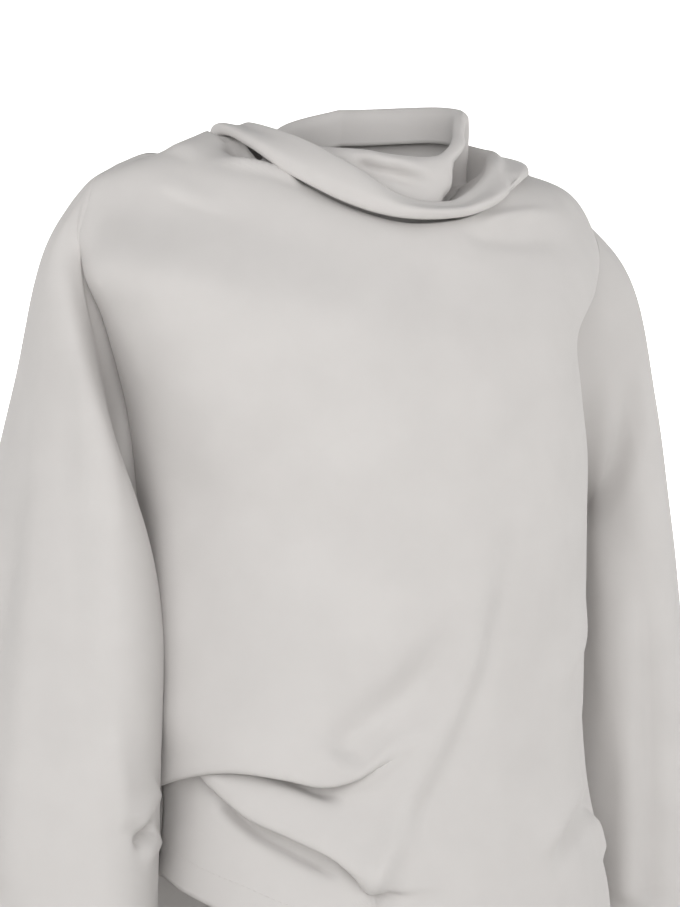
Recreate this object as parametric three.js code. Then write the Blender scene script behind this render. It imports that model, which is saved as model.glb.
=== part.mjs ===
// A draped, cowl-necked top with wide set-in sleeves, as it hangs when it is worn.
// Millimetres. +Z is up, the front faces -Y and the wearer's right is -X.
// The origin is the centre of the neck base, where the shoulders carry the garment.
import * as THREE from 'three';

// Cloth
const CLOTH = 2; // thickness of every wall
const SEAM_GAP = 0.3; // clearance between two pieces where they are sewn
const MITRE_MOST = 1.3; // longest edge of a mitred seam, as a share of the thickness
const SHARP = { below: 0.8, back: 2.8 }; // where a seam folds sharply its edges are drawn back further

// Shoulder and neckline
const NECK_SEAM = 102; // degrees round from the front, where a shoulder seam meets the neckline
const NECK_INSET = 2; // the neckline lies this far inside the turned edge of the cowl
const NECK_BELOW = 3.5; // and this far below it
// Heights of the right and left shoulder seams, outside the neckline.
const SHOULDER_LINE = [
  { x: 126, y: 33, right: 23, left: 11 },
  { x: 138, y: 40, right: 17, left: 10 },
  { x: 152, y: 46, right: 11, left: 7 },
  { x: 166, y: 51, right: 11, left: 0 },
  { x: 186, y: 55, right: 3, left: -12 },
];

// Rows of the front from the shoulder to the armpit, at the middle of the body.
// spread bends a row back towards the shoulder, rise lifts it between the middle and the side
// and fan spreads the cloth's columns out towards the shoulder.
const FRONT_MIDDLE = [
  { z: -52, y: -84, spread: 2.4, rise: 30, fan: 0.85 },
  { z: -84, y: -97, spread: 1.9, rise: 21, fan: 0.45 },
  { z: -118, y: -109, spread: 1.35, rise: 10, fan: 0.15 },
  { z: -150, y: -115, spread: 1.15, rise: 4, fan: 0 },
  { z: -180, y: -119, spread: 1, rise: 0, fan: 0 },
  { z: -212, y: -121, spread: 1, rise: 0, fan: 0 },
  { z: -245, y: -122, spread: 1, rise: 0, fan: 0 },
];
// Where those rows end. wide and y give the outermost point; beyond it the cloth turns
// back into the armhole by tuckIn and tuckBack, and curl is the turn in degrees.
const FRONT_RIGHT = [
  { z: -10, wide: 203, y: 51, tuckIn: 0, tuckBack: 0, curl: 0 },
  { z: -37, wide: 215, y: 46, tuckIn: 0, tuckBack: 0, curl: 0 },
  { z: -72, wide: 221, y: 26, tuckIn: 6, tuckBack: 20, curl: 50 },
  { z: -105, wide: 206, y: 20, tuckIn: 12, tuckBack: 31, curl: 80 },
  { z: -150, wide: 191, y: 25, tuckIn: 12, tuckBack: 29, curl: 80 },
  { z: -195, wide: 179, y: 32, tuckIn: 5, tuckBack: 18, curl: 45 },
  { z: -240, wide: 170, y: 50, tuckIn: 0, tuckBack: 0, curl: 0 },
];
const FRONT_LEFT = [
  { z: -27, wide: 198, y: 40, tuckIn: 0, tuckBack: 0, curl: 0 },
  { z: -51, wide: 195, y: 18, tuckIn: 0, tuckBack: 0, curl: 0 },
  { z: -82, wide: 170, y: -6, tuckIn: 1, tuckBack: 6, curl: 30 },
  { z: -112, wide: 142, y: -18, tuckIn: 3, tuckBack: 14, curl: 50 },
  { z: -150, wide: 141, y: -18, tuckIn: 3, tuckBack: 16, curl: 50 },
  { z: -195, wide: 154, y: 2, tuckIn: 1, tuckBack: 14, curl: 30 },
  { z: -240, wide: 168, y: 42, tuckIn: 0, tuckBack: 0, curl: 0 },
];
const LIP = { share: 0.16, tuckBack: 24 }; // share of a row that a turn this deep takes up
const BACK_MIDDLE = [
  { z: -4, y: 82, spread: 1.8, rise: 8, fan: 0.5 },
  { z: -38, y: 98, spread: 1.5, rise: 8, fan: 0.25 },
  { z: -80, y: 110, spread: 1.2, rise: 4, fan: 0.08 },
  { z: -120, y: 114, spread: 1, rise: 0, fan: 0 },
  { z: -160, y: 113, spread: 1, rise: 0, fan: 0 },
  { z: -202, y: 111, spread: 1, rise: 0, fan: 0 },
  { z: -245, y: 108, spread: 1, rise: 0, fan: 0 },
];
const BACK_RIGHT = [
  { z: -10, wide: 200, y: 74 },
  { z: -38, wide: 210, y: 94 },
  { z: -74, wide: 212, y: 108 },
  { z: -116, wide: 203, y: 112 },
  { z: -154, wide: 192, y: 105 },
  { z: -196, wide: 180, y: 86 },
  { z: -240, wide: 170, y: 50 },
];
const BACK_LEFT = [
  { z: -24, wide: 202, y: 72 },
  { z: -50, wide: 211, y: 92 },
  { z: -82, wide: 209, y: 106 },
  { z: -118, wide: 202, y: 110 },
  { z: -156, wide: 190, y: 102 },
  { z: -198, wide: 179, y: 82 },
  { z: -240, wide: 168, y: 42 },
];

// The body below the armpit: half widths, the y of each side seam, and the front and back.
const BODY = [
  { z: -240, right: 170, left: 168, seamRight: 50, seamLeft: 42, front: -122, back: 108 },
  { z: -311, right: 171, left: 162, seamRight: 32, seamLeft: 28, front: -121, back: 104 },
  { z: -361, right: 169, left: 158, seamRight: 24, seamLeft: 22, front: -118, back: 101 },
  { z: -420, right: 168, left: 159, seamRight: 20, seamLeft: 20, front: -117, back: 102 },
  { z: -466, right: 169, left: 168, seamRight: 20, seamLeft: 20, front: -120, back: 108 },
  { z: -526, right: 178, left: 183, seamRight: 20, seamLeft: 20, front: -124, back: 114 },
  { z: -590, right: 183, left: 188, seamRight: 20, seamLeft: 20, front: -126, back: 118 },
];

// Two tucks that run out from the right side seam at the hip, and the hem, round the body:
// 0 is the middle of the front, 90 the right side, 180 the back and -90 the left side.
// deep is how far a tuck is folded over, from 0 (smooth) to 1.
const HIP = [
  { round: -180, upper: -420, upperDeep: 0.15, lower: -486, lowerDeep: 0, hem: -572 },
  { round: -90, upper: -400, upperDeep: 0.08, lower: -486, lowerDeep: 0.05, hem: -586 },
  { round: -30, upper: -372, upperDeep: 0, lower: -486, lowerDeep: 0, hem: -572 },
  { round: 0, upper: -379, upperDeep: 0, lower: -496, lowerDeep: 0, hem: -560 },
  { round: 18, upper: -402, upperDeep: 0.1, lower: -500, lowerDeep: 0.25, hem: -549 },
  { round: 28, upper: -416, upperDeep: 0.5, lower: -482, lowerDeep: 0.85, hem: -543 },
  { round: 36, upper: -415, upperDeep: 0.9, lower: -466, lowerDeep: 1, hem: -536 },
  { round: 46, upper: -408, upperDeep: 1, lower: -453, lowerDeep: 1, hem: -529 },
  { round: 57, upper: -404, upperDeep: 1, lower: -441, lowerDeep: 0.95, hem: -518 },
  { round: 66, upper: -405, upperDeep: 1, lower: -434, lowerDeep: 0.6, hem: -511 },
  { round: 76, upper: -410, upperDeep: 1, lower: -442, lowerDeep: 0.15, hem: -503 },
  { round: 90, upper: -418, upperDeep: 1, lower: -452, lowerDeep: 0.05, hem: -494 },
  { round: 130, upper: -423, upperDeep: 0.7, lower: -466, lowerDeep: 0.15, hem: -528 },
  { round: 180, upper: -420, upperDeep: 0.15, lower: -486, lowerDeep: 0, hem: -572 },
];
// The path of the cloth over a tuck. flat and folded are heights above its line when
// smooth and when folded right over, out is how far it then stands proud.
const UPPER_TUCK = [
  { name: 'above', flat: 92, folded: 92, out: 1, rows: 2 },
  { name: 'belly', flat: 50, folded: 44, out: 6, rows: 2 },
  { name: 'brink', flat: 16, folded: 4, out: 12, rows: 2 },
  { name: 'edge', flat: 9, folded: -14, out: 10, rows: 1 },
  { name: 'valley', flat: -3, folded: 2, out: -9, rows: 2 },
];
const LOWER_TUCK = [
  { name: 'brink', flat: 12, folded: 4, out: 7, rows: 2 },
  { name: 'edge', flat: 6, folded: -8, out: 6, rows: 1 },
  { name: 'valley', flat: -4, folded: 2, out: -9, rows: 2 },
  { name: 'below', flat: -28, folded: -22, out: -3, rows: 2 },
];
const RIDGE = { share: 0.5, out: 1, rows: 2 }; // between the two tucks
const HEM_ROWS = 3;
const WAIST_SHARE = 0.5; // a row halfway from the armpit to the tucks
const WAIST_ROWS = 2;

// Sleeve rings, from the upper arm to the cuff. The outer side is higher than the inner
// side until the sleeve hangs straight. out, inner, front and back are half sizes.
const RIGHT_SLEEVE = [
  { x: 207, y: 55, zOut: -47, zIn: -258, out: 25, inner: 22, front: 18, back: 60 },
  { x: 214, y: 60, zOut: -130, zIn: -292, out: 32, inner: 46, front: 66, back: 80 },
  { x: 217, y: 68, zOut: -225, zIn: -335, out: 43, inner: 57, front: 90, back: 96 },
  { x: 222, y: 75, zOut: -320, zIn: -380, out: 55, inner: 62, front: 106, back: 110 },
  { x: 227, y: 80, zOut: -410, zIn: -434, out: 65, inner: 65, front: 114, back: 119 },
  { x: 232, y: 85, zOut: -510, zIn: -516, out: 68, inner: 68, front: 121, back: 124 },
  { x: 237, y: 89, zOut: -612, zIn: -612, out: 68, inner: 68, front: 124, back: 126 },
];
const LEFT_SLEEVE = [
  { x: 203, y: 54, zOut: -60, zIn: -254, out: 32, inner: 13, front: 54, back: 60 },
  { x: 209, y: 59, zOut: -138, zIn: -288, out: 41, inner: 30, front: 74, back: 78 },
  { x: 213, y: 66, zOut: -228, zIn: -330, out: 51, inner: 42, front: 88, back: 97 },
  { x: 218, y: 73, zOut: -322, zIn: -376, out: 58, inner: 54, front: 100, back: 108 },
  { x: 223, y: 79, zOut: -412, zIn: -434, out: 63, inner: 61, front: 110, back: 115 },
  { x: 228, y: 84, zOut: -510, zIn: -516, out: 66, inner: 64, front: 117, back: 120 },
  { x: 233, y: 88, zOut: -612, zIn: -612, out: 67, inner: 65, front: 120, back: 122 },
];
const SLEEVE_ROWS = 3; // between two rings
const SLEEVE_LEAD = { in: 42, up: 34 }; // the sleeve's line is aimed from here, inside the shoulder
const SLEEVE_CLEAR = 5; // between the sleeve and the side of the body
const SLEEVE_CLEAR_RATE = 0.5; // how fast that room opens below the armpit
const TUCK_ROOM = { z: -405, reach: 85, right: 14, left: 3 }; // more room beside the hip tuck

// The cowl, round the neck: 0 is the front, 90 the right, -90 the left and 180 the back.
// r is the distance from the neck's centre line, z the height, of the outer roll's lower
// edge and top, the hollow inside it, and the inner funnel's rim.
const COWL_CENTRE_Y = 5;
const COWL = [
  { round: -180, rEdge: 92, zEdge: 14, rTop: 80, zTop: 35, rHollow: 67, zHollow: 16, rRim: 62, zRim: 50 },
  { round: -120, rEdge: 100, zEdge: 18, rTop: 84, zTop: 31, rHollow: 68, zHollow: 8, rRim: 62, zRim: 52 },
  { round: -90, rEdge: 105, zEdge: 14, rTop: 86, zTop: 22, rHollow: 67, zHollow: -3, rRim: 61, zRim: 49 },
  { round: -62, rEdge: 101, zEdge: 0, rTop: 85, zTop: 12, rHollow: 64, zHollow: -12, rRim: 57, zRim: 42 },
  { round: -38, rEdge: 96, zEdge: -21, rTop: 81, zTop: -7, rHollow: 64, zHollow: -21, rRim: 58, zRim: 25 },
  { round: -24, rEdge: 93, zEdge: -31, rTop: 80, zTop: -16, rHollow: 66, zHollow: -27, rRim: 59, zRim: 16 },
  { round: -8, rEdge: 89, zEdge: -37, rTop: 79, zTop: -24, rHollow: 69, zHollow: -32, rRim: 60, zRim: 9 },
  { round: 20, rEdge: 89, zEdge: -36, rTop: 81, zTop: -20, rHollow: 71, zHollow: -29, rRim: 60, zRim: 9 },
  { round: 45, rEdge: 95, zEdge: -26, rTop: 86, zTop: 2, rHollow: 74, zHollow: -16, rRim: 63, zRim: 13 },
  { round: 66, rEdge: 107, zEdge: -7, rTop: 92, zTop: 19, rHollow: 78, zHollow: -4, rRim: 68, zRim: 15 },
  { round: 84, rEdge: 113, zEdge: 14, rTop: 98, zTop: 29, rHollow: 82, zHollow: 4, rRim: 73, zRim: 18 },
  { round: 104, rEdge: 116, zEdge: 28, rTop: 99, zTop: 35, rHollow: 84, zHollow: 8, rRim: 75, zRim: 22 },
  { round: 130, rEdge: 109, zEdge: 26, rTop: 95, zTop: 36, rHollow: 81, zHollow: 11, rRim: 71, zRim: 35 },
  { round: 180, rEdge: 92, zEdge: 14, rTop: 80, zTop: 35, rHollow: 67, zHollow: 16, rRim: 62, zRim: 50 },
];
const COWL_UNDER = 7; // how far the roll is turned under at its lower edge
const COWL_TURN = 26; // depth of the cloth turned down inside the rim
const FOLD = 4.5; // half thickness of a soft doubled fold
// Places between two of those points, as shares of the way across and of the way down or up.
const ROLL_RISE = { across: 0.5, up: 0.4 }; // from the hollow to the top of the roll
const ROLL_FALL = { across: 0.75, down: 0.6 }; // from its top to its lower edge
const FUNNEL_TOP = 0.15; // from the rim to the hollow
const FUNNEL_FALL = { across: 0.5, down: 0.6 };

// Fineness of the meshes
const NECK_SHARE = 0.34; // of a panel's half width, at its top edge
const SHOULDER_COLUMNS = 10;
const FRONT_NECK_COLUMNS = 16;
const BACK_NECK_COLUMNS = 10;
const ARMHOLE_ROWS = 2; // between two of the rows that end at the armhole
const COWL_COLUMNS = 40;

const CREPE = { color: 0xcbc8c2, roughness: 0.82, metalness: 0 };

const radians = THREE.MathUtils.degToRad;
const mix = THREE.MathUtils.lerp;

// The value of one column of a table at x, on a smooth curve through its rows.
function along(table, place, column, x) {
  const last = table.length - 1;
  const way = Math.sign(table[last][place] - table[0][place]);
  let i = 0;
  while (i < last - 1 && way * (x - table[i + 1][place]) > 0) i += 1;
  const slope = (k) => {
    const from = table[Math.max(k - 1, 0)];
    const to = table[Math.min(k + 1, last)];
    return (to[column] - from[column]) / (to[place] - from[place]);
  };
  const [low, high] = [table[i], table[i + 1]];
  const span = high[place] - low[place];
  const t = THREE.MathUtils.clamp((x - low[place]) / span, 0, 1);
  const rest = 1 - t;
  return (
    low[column] * rest * rest * (1 + 2 * t) +
    high[column] * t * t * (3 - 2 * t) +
    span * (slope(i) * t * rest * rest - slope(i + 1) * t * t * rest)
  );
}

// A point of the body below the armpit. round is 0 at the front and 90 at the right side.
function bodyPoint(round, z) {
  const angle = radians(round);
  const [sine, cosine] = [Math.sin(angle), Math.cos(angle)];
  const value = (column) => along(BODY, 'z', column, z);
  const wide = value(sine > 0 ? 'right' : 'left');
  const middle = (value('seamRight') + value('seamLeft')) / 2;
  const seam = mix(middle, value(sine > 0 ? 'seamRight' : 'seamLeft'), Math.abs(sine));
  const end = value(cosine > 0 ? 'front' : 'back');
  return new THREE.Vector3(-wide * sine, seam + (end - seam) * Math.abs(cosine), z);
}

// The same point, moved out of the body by a distance.
function bodyPointOut(round, z, out) {
  const step = 1; // degrees either side, to find the way out
  const ahead = bodyPoint(round + step, z);
  const behind = bodyPoint(round - step, z);
  const way = new THREE.Vector3(behind.y - ahead.y, ahead.x - behind.x, 0).normalize();
  return bodyPoint(round, z).addScaledVector(way, out);
}

// The shoulder seam and neckline, where share runs from 0 at the neck to 1 at the armhole.
function shoulderPoint(side, share) {
  const start = necklinePoint(-side * NECK_SEAM);
  const line = [{ x: side * start.x, y: start.y, z: start.z }];
  for (const { x, y, right, left } of SHOULDER_LINE) line.push({ x, y, z: side < 0 ? right : left });
  const x = mix(line[0].x, line[line.length - 1].x, share);
  return new THREE.Vector3(side * x, along(line, 'x', 'y', x), along(line, 'x', 'z', x));
}

function necklinePoint(round) {
  const angle = radians(round);
  const r = along(COWL, 'round', 'rEdge', round) - COWL_UNDER - NECK_INSET;
  const z = along(COWL, 'round', 'zEdge', round) - NECK_BELOW;
  return new THREE.Vector3(-r * Math.sin(angle), COWL_CENTRE_Y - r * Math.cos(angle), z);
}

// Where the outermost point of a row lies, as a share of the way from the middle to its end.
const tuckStart = (row) => 1 - LIP.share * Math.min(1, (row.tuckBack ?? 0) / LIP.tuckBack);

// A point of a row above the armpit. share is 0 at the middle and 1 at the armhole.
function rowPoint(middle, end, side, share) {
  const start = tuckStart(end);
  if (share <= start) {
    const part = share / start;
    const angle = ((part + middle.fan * part * (1 - part) ** 2) * Math.PI) / 2;
    const turned = Math.sin(angle) ** 2;
    return new THREE.Vector3(
      side * end.wide * Math.sin(angle),
      end.y + (middle.y - end.y) * Math.cos(angle) ** middle.spread,
      mix(middle.z, end.z, turned) + middle.rise * 4 * turned * (1 - turned),
    );
  }
  // The lip: a smooth bend from the outermost point back into the armhole.
  const t = (share - start) / (1 - start);
  const curl = radians(end.curl);
  const size = Math.hypot(end.tuckIn, end.tuckBack);
  const bend = (to, from0, from1) =>
    to * t * t * (3 - 2 * t) + size * (from0 * t * (1 - t) ** 2 - from1 * t * t * (1 - t));
  return new THREE.Vector3(
    side * (end.wide - bend(end.tuckIn, 0, Math.sin(curl))),
    end.y + bend(end.tuckBack, 1, Math.cos(curl)),
    end.z,
  );
}

// The path of the cloth from the armpit to the hem, at one place round the body.
// Each stop is a point with the number of mesh rows that lead to it.
function lowerStops(round) {
  const value = (column) => along(HIP, 'round', column, round);
  const [upper, lower, hem] = [value('upper'), value('lower'), value('hem')];
  const [upperDeep, lowerDeep] = [value('upperDeep'), value('lowerDeep')];
  const stops = [];
  const add = (z, out, rows) => stops.push({ point: bodyPointOut(round, z, out), rows });
  add(mix(BODY[0].z, upper + UPPER_TUCK[0].flat, WAIST_SHARE), 0, WAIST_ROWS);
  for (const stop of UPPER_TUCK)
    add(upper + mix(stop.flat, stop.folded, upperDeep), stop.out * upperDeep, stop.rows);
  add(mix(upper, lower, RIDGE.share), RIDGE.out * lowerDeep, RIDGE.rows);
  for (const stop of LOWER_TUCK)
    add(lower + mix(stop.flat, stop.folded, lowerDeep), stop.out * lowerDeep, stop.rows);
  add(hem, 0, HEM_ROWS);
  return stops;
}

// Points on a smooth curve through the stops, with the rows that each stop asks for.
// lead is an unseen point before the first stop that aims the curve.
function smoothRows(stops, lead = null) {
  const points = stops.map((stop) => stop.point);
  const skipped = lead ? 1 : 0;
  const curve = new THREE.CatmullRomCurve3(lead ? [lead, ...points] : points, false, 'centripetal');
  const pieces = curve.points.length - 1;
  const rows = [points[0].clone()];
  for (let i = 1; i < stops.length; i += 1)
    for (let k = 1; k <= stops[i].rows; k += 1)
      rows.push(curve.getPoint((i - 1 + skipped + k / stops[i].rows) / pieces));
  return rows;
}

// The top edge of the front or back: its half of the neckline between two shoulder seams.
function topPoint(isFront, share) {
  const part = Math.abs(share);
  const side = share < 0 ? -1 : 1;
  if (part > NECK_SHARE) return shoulderPoint(side, (part - NECK_SHARE) / (1 - NECK_SHARE));
  const way = part / NECK_SHARE;
  return necklinePoint(-side * (isFront ? way * NECK_SEAM : 180 - way * (180 - NECK_SEAM)));
}

// One column of the front or back. share is -1 at the right edge and 1 at the left.
function panelColumn(panel, share) {
  const side = share < 0 ? -1 : 1;
  const part = Math.abs(share);
  const ends = side < 0 ? panel.right : panel.left;
  const stops = [{ point: topPoint(panel.isFront, share), rows: 0 }];
  panel.middle.forEach((row, i) => {
    stops.push({ point: rowPoint(row, ends[i], side, part), rows: ARMHOLE_ROWS });
  });
  const round = -side * (panel.isFront ? 90 * part : 180 - 90 * part);
  return smoothRows([...stops, ...lowerStops(round)]);
}

function panelGrid(panel) {
  const columns = [];
  const shoulder = 1 - NECK_SHARE;
  for (let i = 0; i < SHOULDER_COLUMNS; i += 1) columns.push(-1 + (shoulder * i) / SHOULDER_COLUMNS);
  for (let i = 0; i <= panel.neckColumns; i += 1)
    columns.push(mix(-NECK_SHARE, NECK_SHARE, i / panel.neckColumns));
  for (let i = 1; i <= SHOULDER_COLUMNS; i += 1) columns.push(NECK_SHARE + (shoulder * i) / SHOULDER_COLUMNS);
  return columns.map((share) => panelColumn(panel, share));
}

// A grid holds columns of points. Its normals point out of the garment when its columns
// run from right to left and its rows run down. closed joins the last column to the first.
function gridNormals(grid, closed) {
  const [columns, rows] = [grid.length, grid[0].length];
  return grid.map((column, i) =>
    column.map((_, j) => {
      const before = closed ? (i + columns - 1) % columns : Math.max(i - 1, 0);
      const after = closed ? (i + 1) % columns : Math.min(i + 1, columns - 1);
      const across = grid[after][j].clone().sub(grid[before][j]);
      const down = column[Math.min(j + 1, rows - 1)].clone().sub(column[Math.max(j - 1, 0)]);
      return down.cross(across).normalize();
    }),
  );
}

// A place on the edge of a piece that meets the same place on other pieces.
class SeamPoint {
  constructor(...places) {
    this.places = places;
  }

  // Gives every piece the same point and the same mitred edge.
  join() {
    const point = new THREE.Vector3();
    const normal = new THREE.Vector3();
    for (const { piece, i, j, weight = 1 } of this.places) {
      point.add(piece.grid[i][j]);
      normal.addScaledVector(piece.normals[i][j], weight);
    }
    point.divideScalar(this.places.length);
    normal.normalize();
    const closest = Math.min(...this.places.map(({ piece, i, j }) => normal.dot(piece.normals[i][j])));
    normal.multiplyScalar(Math.min(MITRE_MOST, 1 / Math.max(closest, 0.01)));
    const back = SEAM_GAP / 2 + SHARP.back * Math.max(0, SHARP.below - Math.max(0, closest));
    for (const { piece, i, j } of this.places) {
      piece.grid[i][j].copy(point);
      piece.normals[i][j].copy(normal);
      piece.seams.push({ i, j, back });
    }
  }
}

// A piece of cloth. closed makes it a tube, and mirrored says that its columns run the
// other way round, from left to right as seen from outside.
class Piece {
  constructor(name, grid, { closed = false, mirrored = false } = {}) {
    this.name = name;
    this.grid = grid;
    this.closed = closed;
    this.mirrored = mirrored;
    this.normals = gridNormals(grid, closed);
    if (mirrored) this.normals.forEach((column) => column.forEach((normal) => normal.negate()));
    this.seams = [];
  }

  // Draws the sewn edges back from the seam.
  parted() {
    const moved = this.grid.map((column) => column.map((point) => point.clone()));
    const [columns, rows] = [this.grid.length, this.grid[0].length];
    for (const { i, j, back } of this.seams) {
      const from = this.grid[i][j];
      const drawBack = (to, before, after) => {
        const edge = after.clone().sub(before).normalize();
        const way = to.clone().sub(from);
        moved[i][j].addScaledVector(way.addScaledVector(edge, -way.dot(edge)).normalize(), back);
      };
      const [left, right] = this.closed
        ? [(i + columns - 1) % columns, (i + 1) % columns]
        : [Math.max(i - 1, 0), Math.min(i + 1, columns - 1)];
      const [above, below] = [Math.max(j - 1, 0), Math.min(j + 1, rows - 1)];
      if (j === 0 || j === rows - 1)
        drawBack(this.grid[i][j === 0 ? 1 : rows - 2], this.grid[left][j], this.grid[right][j]);
      if (!this.closed && (i === 0 || i === columns - 1))
        drawBack(this.grid[i === 0 ? 1 : columns - 2][j], this.grid[i][above], this.grid[i][below]);
    }
    return moved;
  }

  // The wall: an outer and an inner skin, half the cloth either side, closed at the edges.
  mesh() {
    const grid = this.parted();
    const [columns, rows] = [grid.length, grid[0].length];
    const positions = [];
    for (const way of [CLOTH / 2, -CLOTH / 2])
      grid.forEach((column, i) =>
        column.forEach((point, j) => {
          const at = point.clone().addScaledVector(this.normals[i][j], way);
          positions.push(at.x, at.y, at.z);
        }),
      );
    const skin = columns * rows;
    const at = (i, j) => (i % columns) * rows + j;
    const index = [];
    const quad = (a, b, c, d) =>
      this.mirrored ? index.push(d, c, b, d, b, a) : index.push(a, b, c, a, c, d);
    const lastColumn = this.closed ? columns : columns - 1;
    for (let i = 0; i < lastColumn; i += 1)
      for (let j = 0; j < rows - 1; j += 1) {
        quad(at(i, j), at(i, j + 1), at(i + 1, j + 1), at(i + 1, j));
        quad(skin + at(i, j), skin + at(i + 1, j), skin + at(i + 1, j + 1), skin + at(i, j + 1));
      }
    const edge = (a, b) => quad(a, b, skin + b, skin + a);
    for (let i = 0; i < lastColumn; i += 1) {
      edge(at(i, 0), at(i + 1, 0));
      edge(at(i + 1, rows - 1), at(i, rows - 1));
    }
    if (!this.closed)
      for (let j = 0; j < rows - 1; j += 1) {
        edge(at(0, j + 1), at(0, j));
        edge(at(columns - 1, j), at(columns - 1, j + 1));
      }
    const geometry = new THREE.BufferGeometry();
    geometry.setAttribute('position', new THREE.Float32BufferAttribute(positions, 3));
    geometry.setIndex(index);
    geometry.computeVertexNormals();
    const made = new THREE.Mesh(geometry, new THREE.MeshStandardMaterial(CREPE));
    made.name = this.name;
    return made;
  }
}

// The distance from the middle line of the body to its side at this place.
function bodyReach(side, y, z) {
  const seam = along(BODY, 'z', side < 0 ? 'seamRight' : 'seamLeft', z);
  const end = along(BODY, 'z', y < seam ? 'front' : 'back', z);
  const part = THREE.MathUtils.clamp((y - seam) / (end - seam), 0, 1);
  return along(BODY, 'z', side < 0 ? 'right' : 'left', z) * Math.sqrt(1 - part * part);
}

// Moves a point of a sleeve out until it is clear of the side of the body.
function keepClear(side, point, start) {
  if (point.z > BODY[0].z) return;
  const nearTuck = Math.max(0, 1 - Math.abs(point.z - TUCK_ROOM.z) / TUCK_ROOM.reach);
  const room = SLEEVE_CLEAR + TUCK_ROOM[side < 0 ? 'right' : 'left'] * nearTuck * (2 - nearTuck);
  const nearSeam = SLEEVE_CLEAR_RATE * point.distanceTo(start);
  const least = bodyReach(side, point.y, point.z) + Math.min(room, nearSeam);
  if (side * point.x < least) point.x = side * least;
}

// One sleeve, from the armhole that the front and back leave to the cuff. ring holds the
// armhole's points, from the shoulder down the front to the armpit and up the back.
function sleeveGrid(side, ring, rings) {
  return ring.map((start, i) => {
    const angle = (2 * Math.PI * i) / ring.length;
    const [cosine, sine] = [Math.cos(angle), Math.sin(angle)];
    const stops = [{ point: start.clone(), rows: 0 }];
    for (const row of rings) {
      const point = new THREE.Vector3(
        side * (row.x + (cosine > 0 ? row.out : row.inner) * cosine),
        row.y - (sine > 0 ? row.front : row.back) * sine,
        mix(row.zIn, row.zOut, (1 + cosine) / 2),
      );
      stops.push({ point, rows: SLEEVE_ROWS });
    }
    const towards = new THREE.Vector3(-side * SLEEVE_LEAD.in, 0, SLEEVE_LEAD.up * Math.max(0, cosine));
    const lead = start.clone().add(towards);
    const rows = smoothRows(stops, lead);
    rows.forEach((point) => keepClear(side, point, start));
    return rows;
  });
}

// The cowl's outer roll and inner funnel, as two tubes round the neck.
function cowlGrids() {
  const outer = [];
  const inner = [];
  for (let i = 0; i < COWL_COLUMNS; i += 1) {
    const round = 180 - (360 * i) / COWL_COLUMNS;
    const value = (column) => along(COWL, 'round', column, round);
    const at = (r, z) =>
      new THREE.Vector3(-r * Math.sin(radians(round)), COWL_CENTRE_Y - r * Math.cos(radians(round)), z);
    const [rEdge, zEdge] = [value('rEdge'), value('zEdge')];
    const [rTop, zTop] = [value('rTop'), value('zTop')];
    const [rHollow, zHollow] = [value('rHollow'), value('zHollow')];
    const [rRim, zRim] = [value('rRim'), value('zRim')];
    const hollow = at(rHollow, zHollow);
    outer.push(smoothRows([
      { point: hollow, rows: 0 },
      { point: at(mix(rHollow, rTop, ROLL_RISE.across), mix(zHollow, zTop, ROLL_RISE.up)), rows: 1 },
      { point: at(rTop - FOLD / 2, zTop - 1), rows: 1 },
      { point: at(rTop + FOLD, zTop - FOLD), rows: 1 },
      { point: at(mix(rTop, rEdge, ROLL_FALL.across) + FOLD, mix(zTop, zEdge, ROLL_FALL.down)), rows: 1 },
      { point: at(rEdge, zEdge), rows: 2 },
      { point: at(rEdge - COWL_UNDER, zEdge + 1), rows: 1 },
    ]));
    inner.push(smoothRows([
      { point: at(rRim - FOLD, zRim - COWL_TURN), rows: 0 },
      { point: at(rRim - FOLD, zRim - FOLD), rows: 2 },
      { point: at(rRim, zRim), rows: 1 },
      { point: at(mix(rRim, rHollow, FUNNEL_TOP) + FOLD, zRim - FOLD), rows: 1 },
      {
        point: at(mix(rRim, rHollow, FUNNEL_FALL.across) + FOLD / 2, mix(zRim, zHollow, FUNNEL_FALL.down)),
        rows: 1,
      },
      { point: at(rHollow - FOLD / 2, zHollow + FOLD / 2), rows: 1 },
      { point: hollow.clone(), rows: 1 },
    ]));
  }
  return { outer, inner };
}

const armholeRows = FRONT_MIDDLE.length * ARMHOLE_ROWS;
const front = new Piece('front', panelGrid({
  isFront: true,
  middle: FRONT_MIDDLE,
  right: FRONT_RIGHT,
  left: FRONT_LEFT,
  neckColumns: FRONT_NECK_COLUMNS,
}));
const back = new Piece('back', panelGrid({
  isFront: false,
  middle: BACK_MIDDLE,
  right: BACK_RIGHT,
  left: BACK_LEFT,
  neckColumns: BACK_NECK_COLUMNS,
}), { mirrored: true });

const frontLast = front.grid.length - 1;
const backLast = back.grid.length - 1;
const rowCount = front.grid[0].length;
const frontAt = (i, j, weight) => ({ piece: front, i, j, weight });
const backAt = (i, j, weight) => ({ piece: back, i, j, weight });

// The sides of the front and back meet below the armpit.
const sides = [
  { side: -1, name: 'sleeve_right', frontEdge: 0, backEdge: 0, rings: RIGHT_SLEEVE },
  { side: 1, name: 'sleeve_left', frontEdge: frontLast, backEdge: backLast, rings: LEFT_SLEEVE },
];
for (const { frontEdge, backEdge } of sides)
  for (const j of [0, armholeRows]) {
    const middle = front.grid[frontEdge][j].clone().add(back.grid[backEdge][j]).divideScalar(2);
    front.grid[frontEdge][j].copy(middle);
    back.grid[backEdge][j].copy(middle);
  }

const sleeves = sides.map(({ side, name, frontEdge, backEdge, rings }) => {
  const ring = [];
  for (let j = 0; j <= armholeRows; j += 1) ring.push(front.grid[frontEdge][j]);
  for (let j = armholeRows - 1; j > 0; j -= 1) ring.push(back.grid[backEdge][j]);
  return new Piece(name, sleeveGrid(side, ring, rings), { closed: true, mirrored: side > 0 });
});

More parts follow.
